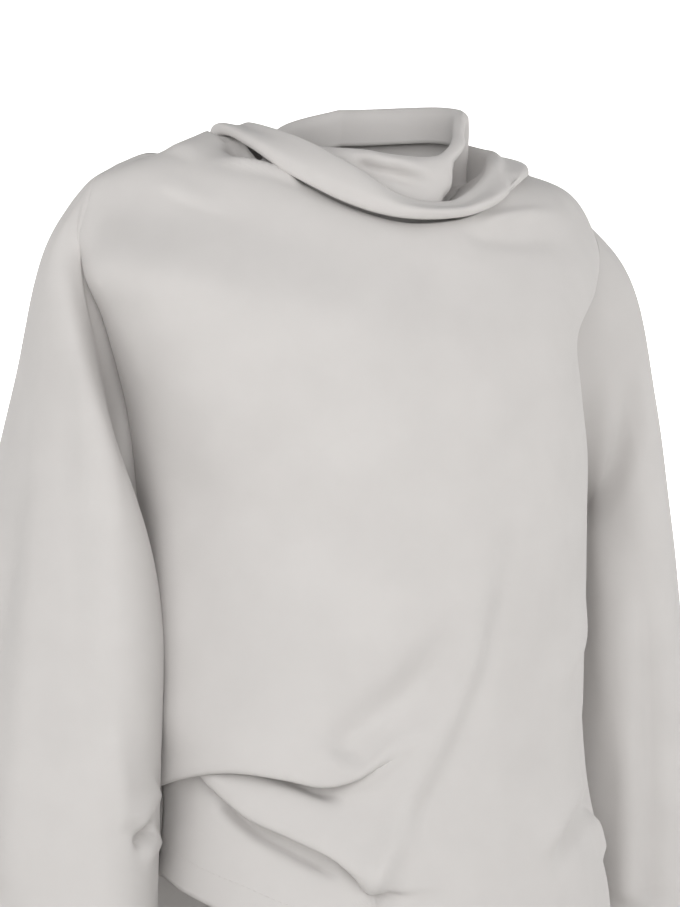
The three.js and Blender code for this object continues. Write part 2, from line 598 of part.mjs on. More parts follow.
sides.forEach(({ frontEdge, backEdge }, k) => {
  const sleeve = sleeves[k];
  const sleeveAt = (i) => ({ piece: sleeve, i, j: 0 });
  for (const j of [0, armholeRows])
    new SeamPoint(frontAt(frontEdge, j, 0.5), backAt(backEdge, j, 0.5), sleeveAt(j)).join();
  for (let j = 1; j < armholeRows; j += 1) {
    new SeamPoint(frontAt(frontEdge, j), sleeveAt(j)).join();
    new SeamPoint(backAt(backEdge, j), sleeveAt(2 * armholeRows - j)).join();
  }
  for (let j = armholeRows + 1; j < rowCount; j += 1)
    new SeamPoint(frontAt(frontEdge, j), backAt(backEdge, j)).join();
});
// The shoulder seams, from each armhole to the neckline.
for (let i = 1; i <= SHOULDER_COLUMNS; i += 1) {
  new SeamPoint(frontAt(i, 0), backAt(i, 0)).join();
  new SeamPoint(frontAt(frontLast - i, 0), backAt(backLast - i, 0)).join();
}

const cowl = cowlGrids();
const roll = new Piece('cowl_roll', cowl.outer, { closed: true });
const funnel = new Piece('cowl_funnel', cowl.inner, { closed: true });
const funnelLast = funnel.grid[0].length - 1;
for (let i = 0; i < COWL_COLUMNS; i += 1)
  new SeamPoint({ piece: roll, i, j: 0 }, { piece: funnel, i, j: funnelLast }).join();

const top = new THREE.Group();
for (const piece of [front, back, ...sleeves, roll, funnel]) top.add(piece.mesh());

export default top;
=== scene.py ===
"""A draped cowl-neck top with wide sleeves, dressed as smooth heavy crepe over its CAD frame.

Lengths are millimetres until a mesh is made, in the frame of the CAD: +Z up, the front
towards -Y, the wearer's right towards -X, and the centre of the neck base at the origin.
"""

import logging
import math
from dataclasses import dataclass, field, fields
from enum import Enum
from functools import cached_property

import bpy
import numpy as np
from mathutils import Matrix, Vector, noise
from mathutils.bvhtree import BVHTree

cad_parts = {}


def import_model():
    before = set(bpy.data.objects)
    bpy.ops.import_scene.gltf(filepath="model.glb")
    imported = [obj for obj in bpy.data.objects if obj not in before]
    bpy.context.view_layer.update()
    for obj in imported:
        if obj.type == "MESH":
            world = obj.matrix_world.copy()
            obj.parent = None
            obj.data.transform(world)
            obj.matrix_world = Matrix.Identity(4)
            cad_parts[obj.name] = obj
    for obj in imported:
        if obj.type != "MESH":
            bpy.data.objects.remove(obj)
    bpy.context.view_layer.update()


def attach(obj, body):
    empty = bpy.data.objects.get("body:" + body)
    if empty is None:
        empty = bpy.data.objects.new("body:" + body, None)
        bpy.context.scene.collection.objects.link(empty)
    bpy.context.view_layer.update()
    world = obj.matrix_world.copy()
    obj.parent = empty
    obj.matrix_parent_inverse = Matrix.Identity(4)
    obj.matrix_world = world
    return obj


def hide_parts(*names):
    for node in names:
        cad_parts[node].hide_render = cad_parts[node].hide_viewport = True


LOG = logging.getLogger("top")

MM = 0.001
TINY = 1e-9
LEAST_STEP = 1e-4
BODY = "root"
FRONT, BACK = "cloth_front", "cloth_back"
SLEEVE_RIGHT, SLEEVE_LEFT = "cloth_sleeve_right", "cloth_sleeve_left"
ROLL, FUNNEL = "cloth_cowl_roll", "cloth_cowl_funnel"
NECK_CENTRE_Y = 5.0


# Small tools


def mix(low: float, high: float, share: float) -> float:
    """Returns the value a share of the way from low to high."""
    return low + (high - low) * share


def smoothstep(x: float | np.ndarray) -> float | np.ndarray:
    """Returns a smooth step that rises from 0 at 0 to 1 at 1."""
    x = np.clip(x, 0.0, 1.0)
    return x * x * (3 - 2 * x)


def rows_of(kind: type, *rows: tuple) -> tuple:
    """Returns a table: rows of one kind, each made from its values."""
    return tuple(kind(*row) for row in rows)


def along(table: tuple, column: str, x: float) -> float:
    """Reads one column of a table on a smooth curve.

    Args:
        table: rows of one kind, in order of their first field, which says where a row is.
        column: the field that is read.
        x: the place that is asked for.

    Returns:
        The value there, held at the ends.
    """
    last = len(table) - 1
    place = fields(table[0])[0].name
    where = [getattr(row, place) for row in table]
    what = [getattr(row, column) for row in table]
    way = math.copysign(1.0, where[last] - where[0])
    i = 0
    while i < last - 1 and way * (x - where[i + 1]) > 0:
        i += 1

    def slope(k: int) -> float:
        """Returns the slope through the neighbours of row k."""
        a, b = max(k - 1, 0), min(k + 1, last)
        return (what[b] - what[a]) / (where[b] - where[a])

    span = where[i + 1] - where[i]
    t = min(max((x - where[i]) / span, 0.0), 1.0)
    rest = 1.0 - t
    return (
        what[i] * rest * rest * (1 + 2 * t)
        + what[i + 1] * t * t * (3 - 2 * t)
        + span * (slope(i) * t * rest * rest - slope(i + 1) * t * t * rest)
    )


def row_at(table: tuple, x: float) -> object:
    """Returns the row that a table has at a place between its rows."""
    columns = [one.name for one in fields(table[0])][1:]
    return type(table[0])(x, *(along(table, column, x) for column in columns))


def smooth_rows(stops: np.ndarray, rows: list | tuple, lead: np.ndarray | None = None) -> np.ndarray:
    """Runs a smooth curve through stops, for many columns at once.

    Args:
        stops: points, as columns x stops x 3.
        rows: the number of mesh rows that lead to each stop, 0 for the first.
        lead: an unseen point before the first stop of each column, as columns x 3.

    Returns:
        The points of the rows, as columns x rows x 3.
    """
    before = 2 * stops[:, :1] - stops[:, 1:2] if lead is None else lead[:, None]
    after = 2 * stops[:, -1:] - stops[:, -2:-1]
    points = np.concatenate([before, stops, after], axis=1)
    made = [stops[:, 0]]
    for i in range(1, stops.shape[1]):
        p0, p1, p2, p3 = (points[:, i - 1 + k] for k in range(4))
        step = [
            np.maximum(np.sum((b - a) ** 2, axis=1) ** 0.25, LEAST_STEP)[:, None]
            for a, b in ((p0, p1), (p1, p2), (p2, p3))
        ]
        t1 = ((p1 - p0) / step[0] - (p2 - p0) / (step[0] + step[1]) + (p2 - p1) / step[1]) * step[1]
        t2 = ((p2 - p1) / step[1] - (p3 - p1) / (step[1] + step[2]) + (p3 - p2) / step[2]) * step[1]
        square, cube = -3 * p1 + 3 * p2 - 2 * t1 - t2, 2 * p1 - 2 * p2 + t1 + t2
        for t in (k / rows[i] for k in range(1, rows[i] + 1)):
            made.append(p1 + t1 * t + square * t**2 + cube * t**3)
    return np.stack(made, axis=1)


def neck_point(turn: float, r: float, z: float) -> np.ndarray:
    """Returns the point at an angle in degrees, a radius and a height round the neck."""
    angle = math.radians(turn)
    return np.array([-r * math.sin(angle), NECK_CENTRE_Y - r * math.cos(angle), z])


def view_axes(azimuth: float) -> tuple:
    """Returns the directions towards a viewer at an azimuth in degrees and across the view."""
    turn = math.radians(azimuth)
    return Vector((math.sin(turn), -math.cos(turn), 0)), Vector((math.cos(turn), math.sin(turn), 0))


def linear(hex_colour: str) -> tuple:
    """Turns an sRGB hex colour into linear red, green, blue and alpha."""
    parts = [int(hex_colour[i : i + 2], 16) / 255 for i in (1, 3, 5)]
    turned = [c / 12.92 if c <= 0.04045 else ((c + 0.055) / 1.055) ** 2.4 for c in parts]
    return (*turned, 1.0)


def add_object(name: str, data: bpy.types.ID) -> bpy.types.Object:
    """Returns a new object in the scene that shows the data."""
    made = bpy.data.objects.new(name, data)
    bpy.context.scene.collection.objects.link(made)
    return made


def mesh_object(name: str, points: np.ndarray, faces: list) -> bpy.types.Object:
    """Makes an object with smooth faces.

    Args:
        name: its name.
        points: its points in millimetres.
        faces: the corners of its faces.

    Returns:
        The object, at the origin.
    """
    mesh = bpy.data.meshes.new(name)
    mesh.from_pydata((points * MM).tolist(), [], faces)
    mesh.polygons.foreach_set("use_smooth", np.ones(len(mesh.polygons), dtype=bool))
    mesh.validate()
    return add_object(name, mesh)


def looking_object(name: str, data: bpy.types.ID, place: Vector, aim: Vector) -> bpy.types.Object:
    """Adds a lamp or camera.

    Args:
        name: its name.
        data: the lamp or camera.
        place: where it stands, in metres.
        aim: what it looks at, in metres.

    Returns:
        The object.
    """
    made = add_object(name, data)
    made.location = place
    made.rotation_euler = (aim - place).to_track_quat("-Z", "Y").to_euler()
    return made


# The tables of the garment's form


@dataclass(frozen=True)
class ShoulderRow:
    """A place on the shoulder seams, with its height on each side."""

    x: float
    y: float
    right: float
    left: float


@dataclass(frozen=True)
class MiddleRow:
    """A row of a panel at the middle of the body."""

    z: float
    y: float
    spread: float
    rise: float
    fan: float


@dataclass(frozen=True)
class EndRow:
    """Where a row of a panel ends: its outermost point and its turn into the armhole."""

    z: float
    wide: float
    y: float
    tuck_in: float = 0.0
    tuck_back: float = 0.0
    curl: float = 0.0


@dataclass(frozen=True)
class Section:
    """A section of the body below the armpit."""

    z: float
    right: float
    left: float
    seam_right: float
    seam_left: float
    front: float
    back: float


@dataclass(frozen=True)
class HipRow:
    """The heights of the two tucks and the hem at one place round the hip."""

    round: float
    upper: float
    upper_deep: float
    lower: float
    lower_deep: float
    hem: float


@dataclass(frozen=True)
class TuckStop:
    """A place on the cloth's path over a tuck."""

    flat: float
    folded: float
    out: float
    rows: int


@dataclass(frozen=True)
class SleeveRing:
    """A ring of a sleeve."""

    x: float
    y: float
    z_out: float
    z_in: float
    out: float
    inner: float
    front: float
    back: float


@dataclass(frozen=True)
class CowlRow:
    """A section of the cowl at one place round the neck."""

    round: float
    r_edge: float
    z_edge: float
    r_top: float
    z_top: float
    r_hollow: float
    z_hollow: float
    r_rim: float
    z_rim: float


SHOULDER_LINE = rows_of(
    ShoulderRow,
    (126, 33, 23, 11),
    (138, 40, 17, 10),
    (152, 46, 11, 7),
    (166, 51, 11, 0),
    (186, 55, 3, -12),
)
FRONT_MIDDLE = rows_of(
    MiddleRow,
    (-52, -84, 2.4, 30, 0.85),
    (-84, -97, 1.9, 21, 0.45),
    (-118, -109, 1.35, 10, 0.15),
    (-150, -115, 1.15, 4, 0),
    (-180, -119, 1, 0, 0),
    (-212, -121, 1, 0, 0),
    (-245, -122, 1, 0, 0),
)
FRONT_RIGHT = rows_of(
    EndRow,
    (-10, 203, 51),
    (-37, 215, 46),
    (-72, 221, 26, 6, 20, 50),
    (-105, 206, 20, 12, 31, 80),
    (-150, 191, 25, 12, 29, 80),
    (-195, 179, 32, 5, 18, 45),
    (-240, 170, 50),
)
FRONT_LEFT = rows_of(
    EndRow,
    (-27, 198, 40),
    (-51, 195, 18),
    (-82, 170, -6, 1, 6, 30),
    (-112, 142, -18, 3, 14, 50),
    (-150, 141, -18, 3, 16, 50),
    (-195, 154, 2, 1, 14, 30),
    (-240, 168, 42),
)
BACK_MIDDLE = rows_of(
    MiddleRow,
    (-4, 82, 1.8, 8, 0.5),
    (-38, 98, 1.5, 8, 0.25),
    (-80, 110, 1.2, 4, 0.08),
    (-120, 114, 1, 0, 0),
    (-160, 113, 1, 0, 0),
    (-202, 111, 1, 0, 0),
    (-245, 108, 1, 0, 0),
)
BACK_RIGHT = rows_of(
    EndRow,
    (-10, 200, 74),
    (-38, 210, 94),
    (-74, 212, 108),
    (-116, 203, 112),
    (-154, 192, 105),
    (-196, 180, 86),
    (-240, 170, 50),
)
BACK_LEFT = rows_of(
    EndRow,
    (-24, 202, 72),
    (-50, 211, 92),
    (-82, 209, 106),
    (-118, 202, 110),
    (-156, 190, 102),
    (-198, 179, 82),
    (-240, 168, 42),
)
BODY_SECTIONS = rows_of(
    Section,
    (-240, 170, 168, 50, 42, -122, 108),
    (-311, 171, 162, 32, 28, -121, 104),
    (-361, 169, 158, 24, 22, -118, 101),
    (-420, 168, 159, 20, 20, -117, 102),
    (-466, 169, 168, 20, 20, -120, 108),
    (-526, 178, 183, 20, 20, -124, 114),
    (-590, 183, 188, 20, 20, -126, 118),
)
HIP = rows_of(
    HipRow,
    (-180, -420, 0.15, -486, 0, -572),
    (-90, -400, 0.08, -486, 0.05, -586),
    (-30, -372, 0, -486, 0, -572),
    (0, -379, 0, -496, 0, -560),
    (18, -402, 0.1, -500, 0.25, -549),
    (28, -416, 0.5, -482, 0.85, -543),
    (36, -415, 0.9, -466, 1, -536),
    (46, -408, 1, -453, 1, -529),
    (57, -404, 1, -441, 0.95, -518),
    (66, -405, 1, -427, 0.8, -511),
    (76, -410, 1, -420, 0.3, -503),
    (90, -418, 1, -440, 0.05, -494),
    (130, -423, 0.7, -466, 0.15, -528),
    (180, -420, 0.15, -486, 0, -572),
)
UPPER_TUCK = rows_of(
    TuckStop,
    (92, 92, 1, 12),
    (50, 44, 6, 14),
    (16, 4, 12, 13),
    (9, -14, 10, 7),
    (-3, 2, -9, 8),
)
LOWER_TUCK = rows_of(
    TuckStop,
    (12, 4, 7, 8),
    (6, -8, 6, 6),
    (-4, 2, -9, 7),
    (-28, -22, -3, 9),
)
MOUTH = TuckStop(-5, -20, -10, 6)
RIDGE = TuckStop(0, 0, 1, 8)
RIGHT_SLEEVE = rows_of(
    SleeveRing,
    (207, 55, -47, -258, 25, 22, 18, 60),
    (214, 60, -130, -292, 32, 46, 66, 80),
    (217, 68, -225, -335, 43, 57, 90, 96),
    (222, 75, -320, -380, 55, 62, 106, 110),
    (227, 80, -410, -434, 65, 65, 114, 119),
    (232, 85, -510, -516, 68, 68, 121, 124),
    (237, 89, -612, -612, 68, 68, 124, 126),
)
LEFT_SLEEVE = rows_of(
    SleeveRing,
    (203, 54, -60, -254, 32, 13, 54, 60),
    (209, 59, -138, -288, 41, 30, 74, 78),
    (213, 66, -228, -330, 51, 42, 88, 97),
    (218, 73, -322, -376, 58, 54, 100, 108),
    (223, 79, -412, -434, 63, 61, 110, 115),
    (228, 84, -510, -516, 66, 64, 117, 120),
    (233, 88, -612, -612, 67, 65, 120, 122),
)
COWL = rows_of(
    CowlRow,
    (-180, 92, 14, 80, 35, 67, 16, 62, 50),
    (-120, 100, 18, 84, 31, 68, 8, 62, 52),
    (-90, 105, 14, 86, 22, 67, -3, 61, 49),
    (-62, 101, 0, 85, 12, 64, -12, 57, 42),
    (-38, 96, -17, 81, -4, 63, -19, 58, 25),
    (-24, 93, -27, 80, -14, 65, -25, 59, 16),
    (-8, 89, -34, 79, -23, 69, -30, 60, 9),
    (20, 89, -36, 81, -20, 71, -29, 60, 9),
    (45, 95, -26, 86, 2, 74, -16, 63, 13),
    (66, 107, -7, 92, 19, 78, -4, 68, 15),
    (84, 113, 14, 98, 29, 82, 4, 73, 18),
    (104, 116, 28, 99, 35, 84, 8, 75, 22),
    (130, 109, 26, 95, 36, 81, 11, 71, 35),
    (180, 92, 14, 80, 35, 67, 16, 62, 50),
)


# Creases

FAR_OFF = 1000.0
STEPS_OF_PATH = 8
REACH_OF_CREASE = 3.2


class Seen(Enum):
    """The side that a crease is placed from, as the azimuth of that view."""

    FRONT_RIGHT = 330
    FRONT = 0
    LEFT = 90
    BACK = 180
    RIGHT = 270


@dataclass(frozen=True)
class Crease:
    """A crease that the cloth keeps, as a path over the pieces that it crosses.

    wide is its half width, and high how far it stands out, or in where that is negative. fade_in and
    fade_out are the shares of its length over which it starts and ends. path is a row of (across, up),
    as seen from one side.
    """

    name: str
    pieces: tuple
    wide: float
    high: float
    fade_in: float
    fade_out: float
    path: tuple

    def line(self, seen: Seen, cloths: dict) -> np.ndarray:
        """Lays the path on the cloth.

        Args:
            seen: the side that it is placed from.
            cloths: the pieces of cloth by name.

        Returns:
            The path as many close points.
        """
        towards, across = view_axes(seen.value)
        stops = []
        for wide, up in self.path:
            start = FAR_OFF * towards + wide * across + Vector((0, 0, up))
            hits = [cloths[name].surface.ray_cast(start, -towards)[0] for name in self.pieces]
            hits = [hit for hit in hits if hit is not None]
            if hits:
                stops.append(max(hits, key=towards.dot))
        if len(stops) < 2:
            raise ValueError(f"the crease {self.name} misses the cloth")
        return smooth_rows(np.array(stops)[None], [0] + [STEPS_OF_PATH] * (len(stops) - 1))[0]

    def lift(self, line: np.ndarray, points: np.ndarray) -> np.ndarray:
        """Works out how far the crease moves each point along its normal.

        Args:
            line: the crease's path on the cloth, as m x 3.
            points: the cloth's points, as n x 3.

        Returns:
            The distances, as n values.
        """
        reach = REACH_OF_CREASE * self.wide
        near = np.all((points > line.min(0) - reach) & (points < line.max(0) + reach), axis=1)
        moved = np.zeros(len(points))
        if not near.any():
            return moved
        here = points[near]
        way = np.diff(line, axis=0)
        length = np.linalg.norm(way, axis=1)
        done = np.concatenate([[0.0], np.cumsum(length)])
        best = np.full(len(here), np.inf)
        share = np.zeros(len(here))
        for k in range(len(way)):
            off = here - line[k]
            t = np.clip(off @ way[k] / max(length[k] ** 2, TINY), 0, 1)
            far = np.linalg.norm(off - t[:, None] * way[k], axis=1)
            closer = far < best
            best[closer] = far[closer]
            share[closer] = (done[k] + t[closer] * length[k]) / done[-1]
        weight = smoothstep(share / self.fade_in) * smoothstep((1 - share) / self.fade_out)
        moved[near] = self.high * weight * np.exp(-((best / self.wide) ** 2))
        return moved


FROM_FRONT_RIGHT = (
    Crease("hip ridge", (FRONT,), 15, 8, 0.45, 0.1, (
        (82, -246), (76, -294), (64, -339), (52, -373), (36, -407), (17, -437), (1, -467), (-9, -490),
        (-11, -508),
    )),
    Crease("hip ridge foot", (FRONT,), 7, 4, 0.5, 0.02, ((11, -449), (-2, -473), (-8, -491), (-11, -508))),
    Crease("hip valley", (FRONT,), 11, -8, 0.45, 0.12, (
        (91, -218), (85, -274), (76, -315), (66, -353), (54, -383), (40, -414), (23, -444), (12, -468),
    )),
    Crease("waist valley", (FRONT,), 17, -9.5, 0.55, 0.12, (
        (58, -301), (40, -331), (19, -362), (-4, -380), (-24, -396), (-33, -415),
    )),
    Crease("lapped ridge", (FRONT,), 10, 6, 0.15, 0.65, (
        (-45, -435), (-28, -429), (-11, -417), (8, -402), (30, -386), (53, -372),
    )),
    Crease("left hip ridge", (FRONT,), 11, 8, 0.3, 0.4, ((139, -422), (123, -452), (101, -488))),
    Crease("left hip valley", (FRONT,), 9, -7, 0.1, 0.4, ((148, -449), (133, -465), (113, -496))),
    Crease("left sleeve ridge", (SLEEVE_LEFT,), 12, 6, 0.4, 0.02, (
        (172, -234), (177, -308), (180, -381), (181, -455), (181, -531),
    )),
    Crease("left sleeve valley", (SLEEVE_LEFT,), 11, -5, 0.4, 0.02, (
        (188, -264), (190, -337), (192, -425), (192, -531),
    )),
    Crease("left sleeve fill", (SLEEVE_LEFT,), 13, 7, 0.25, 0.3, (
        (166, -110), (163, -160), (162, -220), (163, -300), (165, -380), (167, -450),
    )),
    Crease("right sleeve ridge", (SLEEVE_RIGHT,), 15, 4, 0.4, 0.05, (
        (-238, -114), (-242, -198), (-245, -301), (-252, -402), (-259, -507),
    )),
    Crease("right sleeve valley", (SLEEVE_RIGHT,), 15, -3, 0.4, 0.2, (
        (-224, -87), (-221, -177), (-215, -273), (-206, -367), (-196, -434),
    )),
    Crease("right cuff ridge", (SLEEVE_RIGHT,), 11, 4, 0.4, 0.12, (
        (-191, -360), (-186, -401), (-182, -431), (-176, -458),
    )),
    Crease("right shoulder line", (FRONT,), 4, -1.8, 0.3, 0.6, (
        (-161, -15), (-142, -26), (-120, -34), (-101, -41),
    )),
    Crease("right shoulder swell", (FRONT,), 9, 2, 0.3, 0.5, (
        (-166, -8), (-144, -19), (-121, -27), (-97, -34),
    )),
    Crease("pocket", (FRONT,), 9, -14, 0.35, 0.25, ((-111, 18), (-97, 12), (-85, 6))),
    Crease("pocket lip", (FRONT,), 5, 5, 0.4, 0.2, (
        (-125, 4), (-104, 2), (-86, -2), (-71, -7), (-60, -16),
    )),
    Crease("nape ridge", (FRONT, BACK), 14, 5, 0.3, 0.02, ((-148, 6), (-137, 13), (-126, 19), (-120, 21))),
    Crease("left shoulder ridge", (FRONT,), 5, 3.5, 0.2, 0.5, (
        (62, -41), (77, -35), (103, -29), (131, -27),
    )),
    Crease("left shoulder valley", (FRONT,), 8, -3, 0.2, 0.5, (
        (48, -45), (73, -49), (102, -49), (138, -46),
    )),
    Crease("chest valley", (FRONT,), 16, -1.6, 0.3, 0.6, ((-4, -42), (23, -66), (44, -101), (58, -149))),
    Crease("funnel valley", (FUNNEL,), 5, -8, 0.2, 0.4, (
        (-25, 5), (-9, -1), (7, -5), (21, -9), (31, -15),
    )),
    Crease("funnel ridge", (FUNNEL,), 5, 2.5, 0.2, 0.3, (
        (-21, 11), (-6, 5), (11, 2), (27, -3), (35, -14),
    )),
    Crease("lower tuck shade", (FRONT,), 6, -8, 0.1, 0.2, (
        (-115, -437), (-101, -449), (-85, -460), (-59, -473), (-29, -488),
    )),
    Crease("right armhole fill", (FRONT, SLEEVE_RIGHT), 9, 4, 0.2, 0.3, (
        (-198, -4), (-205, -23), (-209, -48), (-210, -67),
    )),
    Crease("side swell", (FRONT,), 26, 8, 0.3, 0.15, (
        (-167, -163), (-159, -218), (-151, -274), (-148, -329), (-147, -384), (-148, -413),
    )),
    Crease("roll ridge", (ROLL,), 6, 3, 0.3, 0.3, ((70, 20), (77, 5), (80, -8), (81, -20))),
    Crease("roll crease", (ROLL,), 5, -3, 0.4, 0.4, ((92, 1), (90, -9), (84, -18))),
    Crease("left hip puff", (FRONT,), 10, 5, 0.3, 0.3, ((147, -457), (157, -494))),
    Crease("sleeve pinch", (SLEEVE_RIGHT,), 5, -11, 0.05, 0.4, (
        (-161, -455), (-166, -462), (-174, -465),
    )),
    Crease("sleeve puff above", (SLEEVE_RIGHT,), 9, 4, 0.1, 0.3, (
        (-158, -431), (-165, -444), (-173, -454),
    )),
    Crease("sleeve puff below", (SLEEVE_RIGHT,), 8, 4, 0.1, 0.4, (
        (-158, -464), (-162, -472), (-169, -479),
    )),
)
FROM_BACK = (
    Crease("back yoke swell", (BACK,), 16, 3, 0.3, 0.5, (
        (95, -30), (60, -58), (10, -70), (-50, -62), (-100, -34),
    )),
    Crease("back yoke hollow", (BACK,), 14, -3, 0.3, 0.4, (
        (80, -62), (40, -92), (-10, -100), (-62, -88), (-105, -58),
    )),
    Crease("back long fold right", (BACK,), 16, 4.5, 0.5, 0.1, (
        (96, -150), (84, -260), (70, -380),
    )),
    Crease("back long hollow right", (BACK,), 14, -3.5, 0.5, 0.1, (
        (60, -190), (50, -300), (36, -420), (28, -560),
    )),
    Crease("back long fold left", (BACK,), 15, 4, 0.5, 0.1, (
        (-84, -180), (-90, -300), (-82, -430), (-86, -575),
    )),
    Crease("back long hollow left", (BACK,), 13, -3, 0.5, 0.1, (
        (-50, -240), (-54, -360), (-48, -480),
    )),
    Crease("back tuck line", (BACK,), 9, -3, 0.15, 0.6, ((140, -428), (100, -440), (50, -462), (0, -500))),
    Crease("back tuck swell", (BACK,), 11, 3, 0.15, 0.6, ((140, -448), (96, -464), (46, -492), (0, -536))),
    Crease("back armhole pull right", (BACK,), 8, -3.5, 0.3, 0.5, ((150, -180), (120, -130))),
    Crease("back armhole pull left", (BACK,), 8, -3, 0.3, 0.5, ((-150, -178), (-124, -134))),
    Crease("right sleeve back fold", (SLEEVE_RIGHT,), 14, 5, 0.4, 0.05, (
        (236, -130), (246, -260), (250, -420), (252, -604),
    )),
    Crease("right sleeve back hollow", (SLEEVE_RIGHT,), 12, -4, 0.4, 0.05, (
        (214, -220), (222, -340), (224, -470), (226, -604),
    )),
    Crease("left sleeve back fold", (SLEEVE_LEFT,), 14, 4.5, 0.4, 0.05, (
        (-230, -150), (-238, -280), (-246, -430), (-250, -604),
    )),
    Crease("left sleeve back hollow", (SLEEVE_LEFT,), 12, -4, 0.4, 0.05, (
        (-208, -230), (-212, -350), (-218, -480), (-220, -604),
    )),
    Crease("right elbow break", (SLEEVE_RIGHT,), 14, -2, 0.4, 0.4, (
        (262, -318), (236, -322), (212, -310),
    )),
    Crease("left elbow break", (SLEEVE_LEFT,), 14, -2, 0.4, 0.4, (
        (-272, -318), (-252, -330), (-230, -330), (-206, -316),
    )),
)
FROM_LEFT = (
    Crease("left sleeve outer fold", (SLEEVE_LEFT,), 14, 4, 0.4, 0.05, (
        (40, -150), (34, -280), (40, -440), (36, -604),
    )),
    Crease("left sleeve outer hollow", (SLEEVE_LEFT,), 12, -3, 0.4, 0.05, (
        (78, -180), (80, -320), (86, -470), (84, -604),
    )),
)
FROM_RIGHT = (
    Crease("right sleeve outer fold", (SLEEVE_RIGHT,), 14, 4, 0.4, 0.05, (
        (-84, -150), (-90, -300), (-98, -450), (-100, -604),
    )),
    Crease("right sleeve outer hollow", (SLEEVE_RIGHT,), 12, -3, 0.4, 0.05, (
        (-50, -190), (-56, -330), (-62, -480), (-60, -604),
    )),
)
FROM_FRONT = (
    Crease("left waist fold", (FRONT,), 10, 3, 0.4, 0.4, (
        (150, -300), (128, -330), (96, -352), (60, -366),
    )),
)
CREASES = {
    Seen.FRONT_RIGHT: FROM_FRONT_RIGHT,
    Seen.BACK: FROM_BACK,
    Seen.LEFT: FROM_LEFT,
    Seen.RIGHT: FROM_RIGHT,
    Seen.FRONT: FROM_FRONT,
}


# Cloth


@dataclass(frozen=True)
class Swell:
    """A slight unevenness of the cloth: how high its swells are, how far apart, and their shift."""

    high: float
    wide: float
    tall: float
    shift: float

    def at(self, x: float, y: float, z: float) -> float:
        """Returns its height at a point."""
        return self.high * noise.noise(Vector((x / self.wide + self.shift, y / self.wide, z / self.tall)))


SWELLS = (Swell(0.9, 90, 120, 0), Swell(0.35, 34, 48, 7))


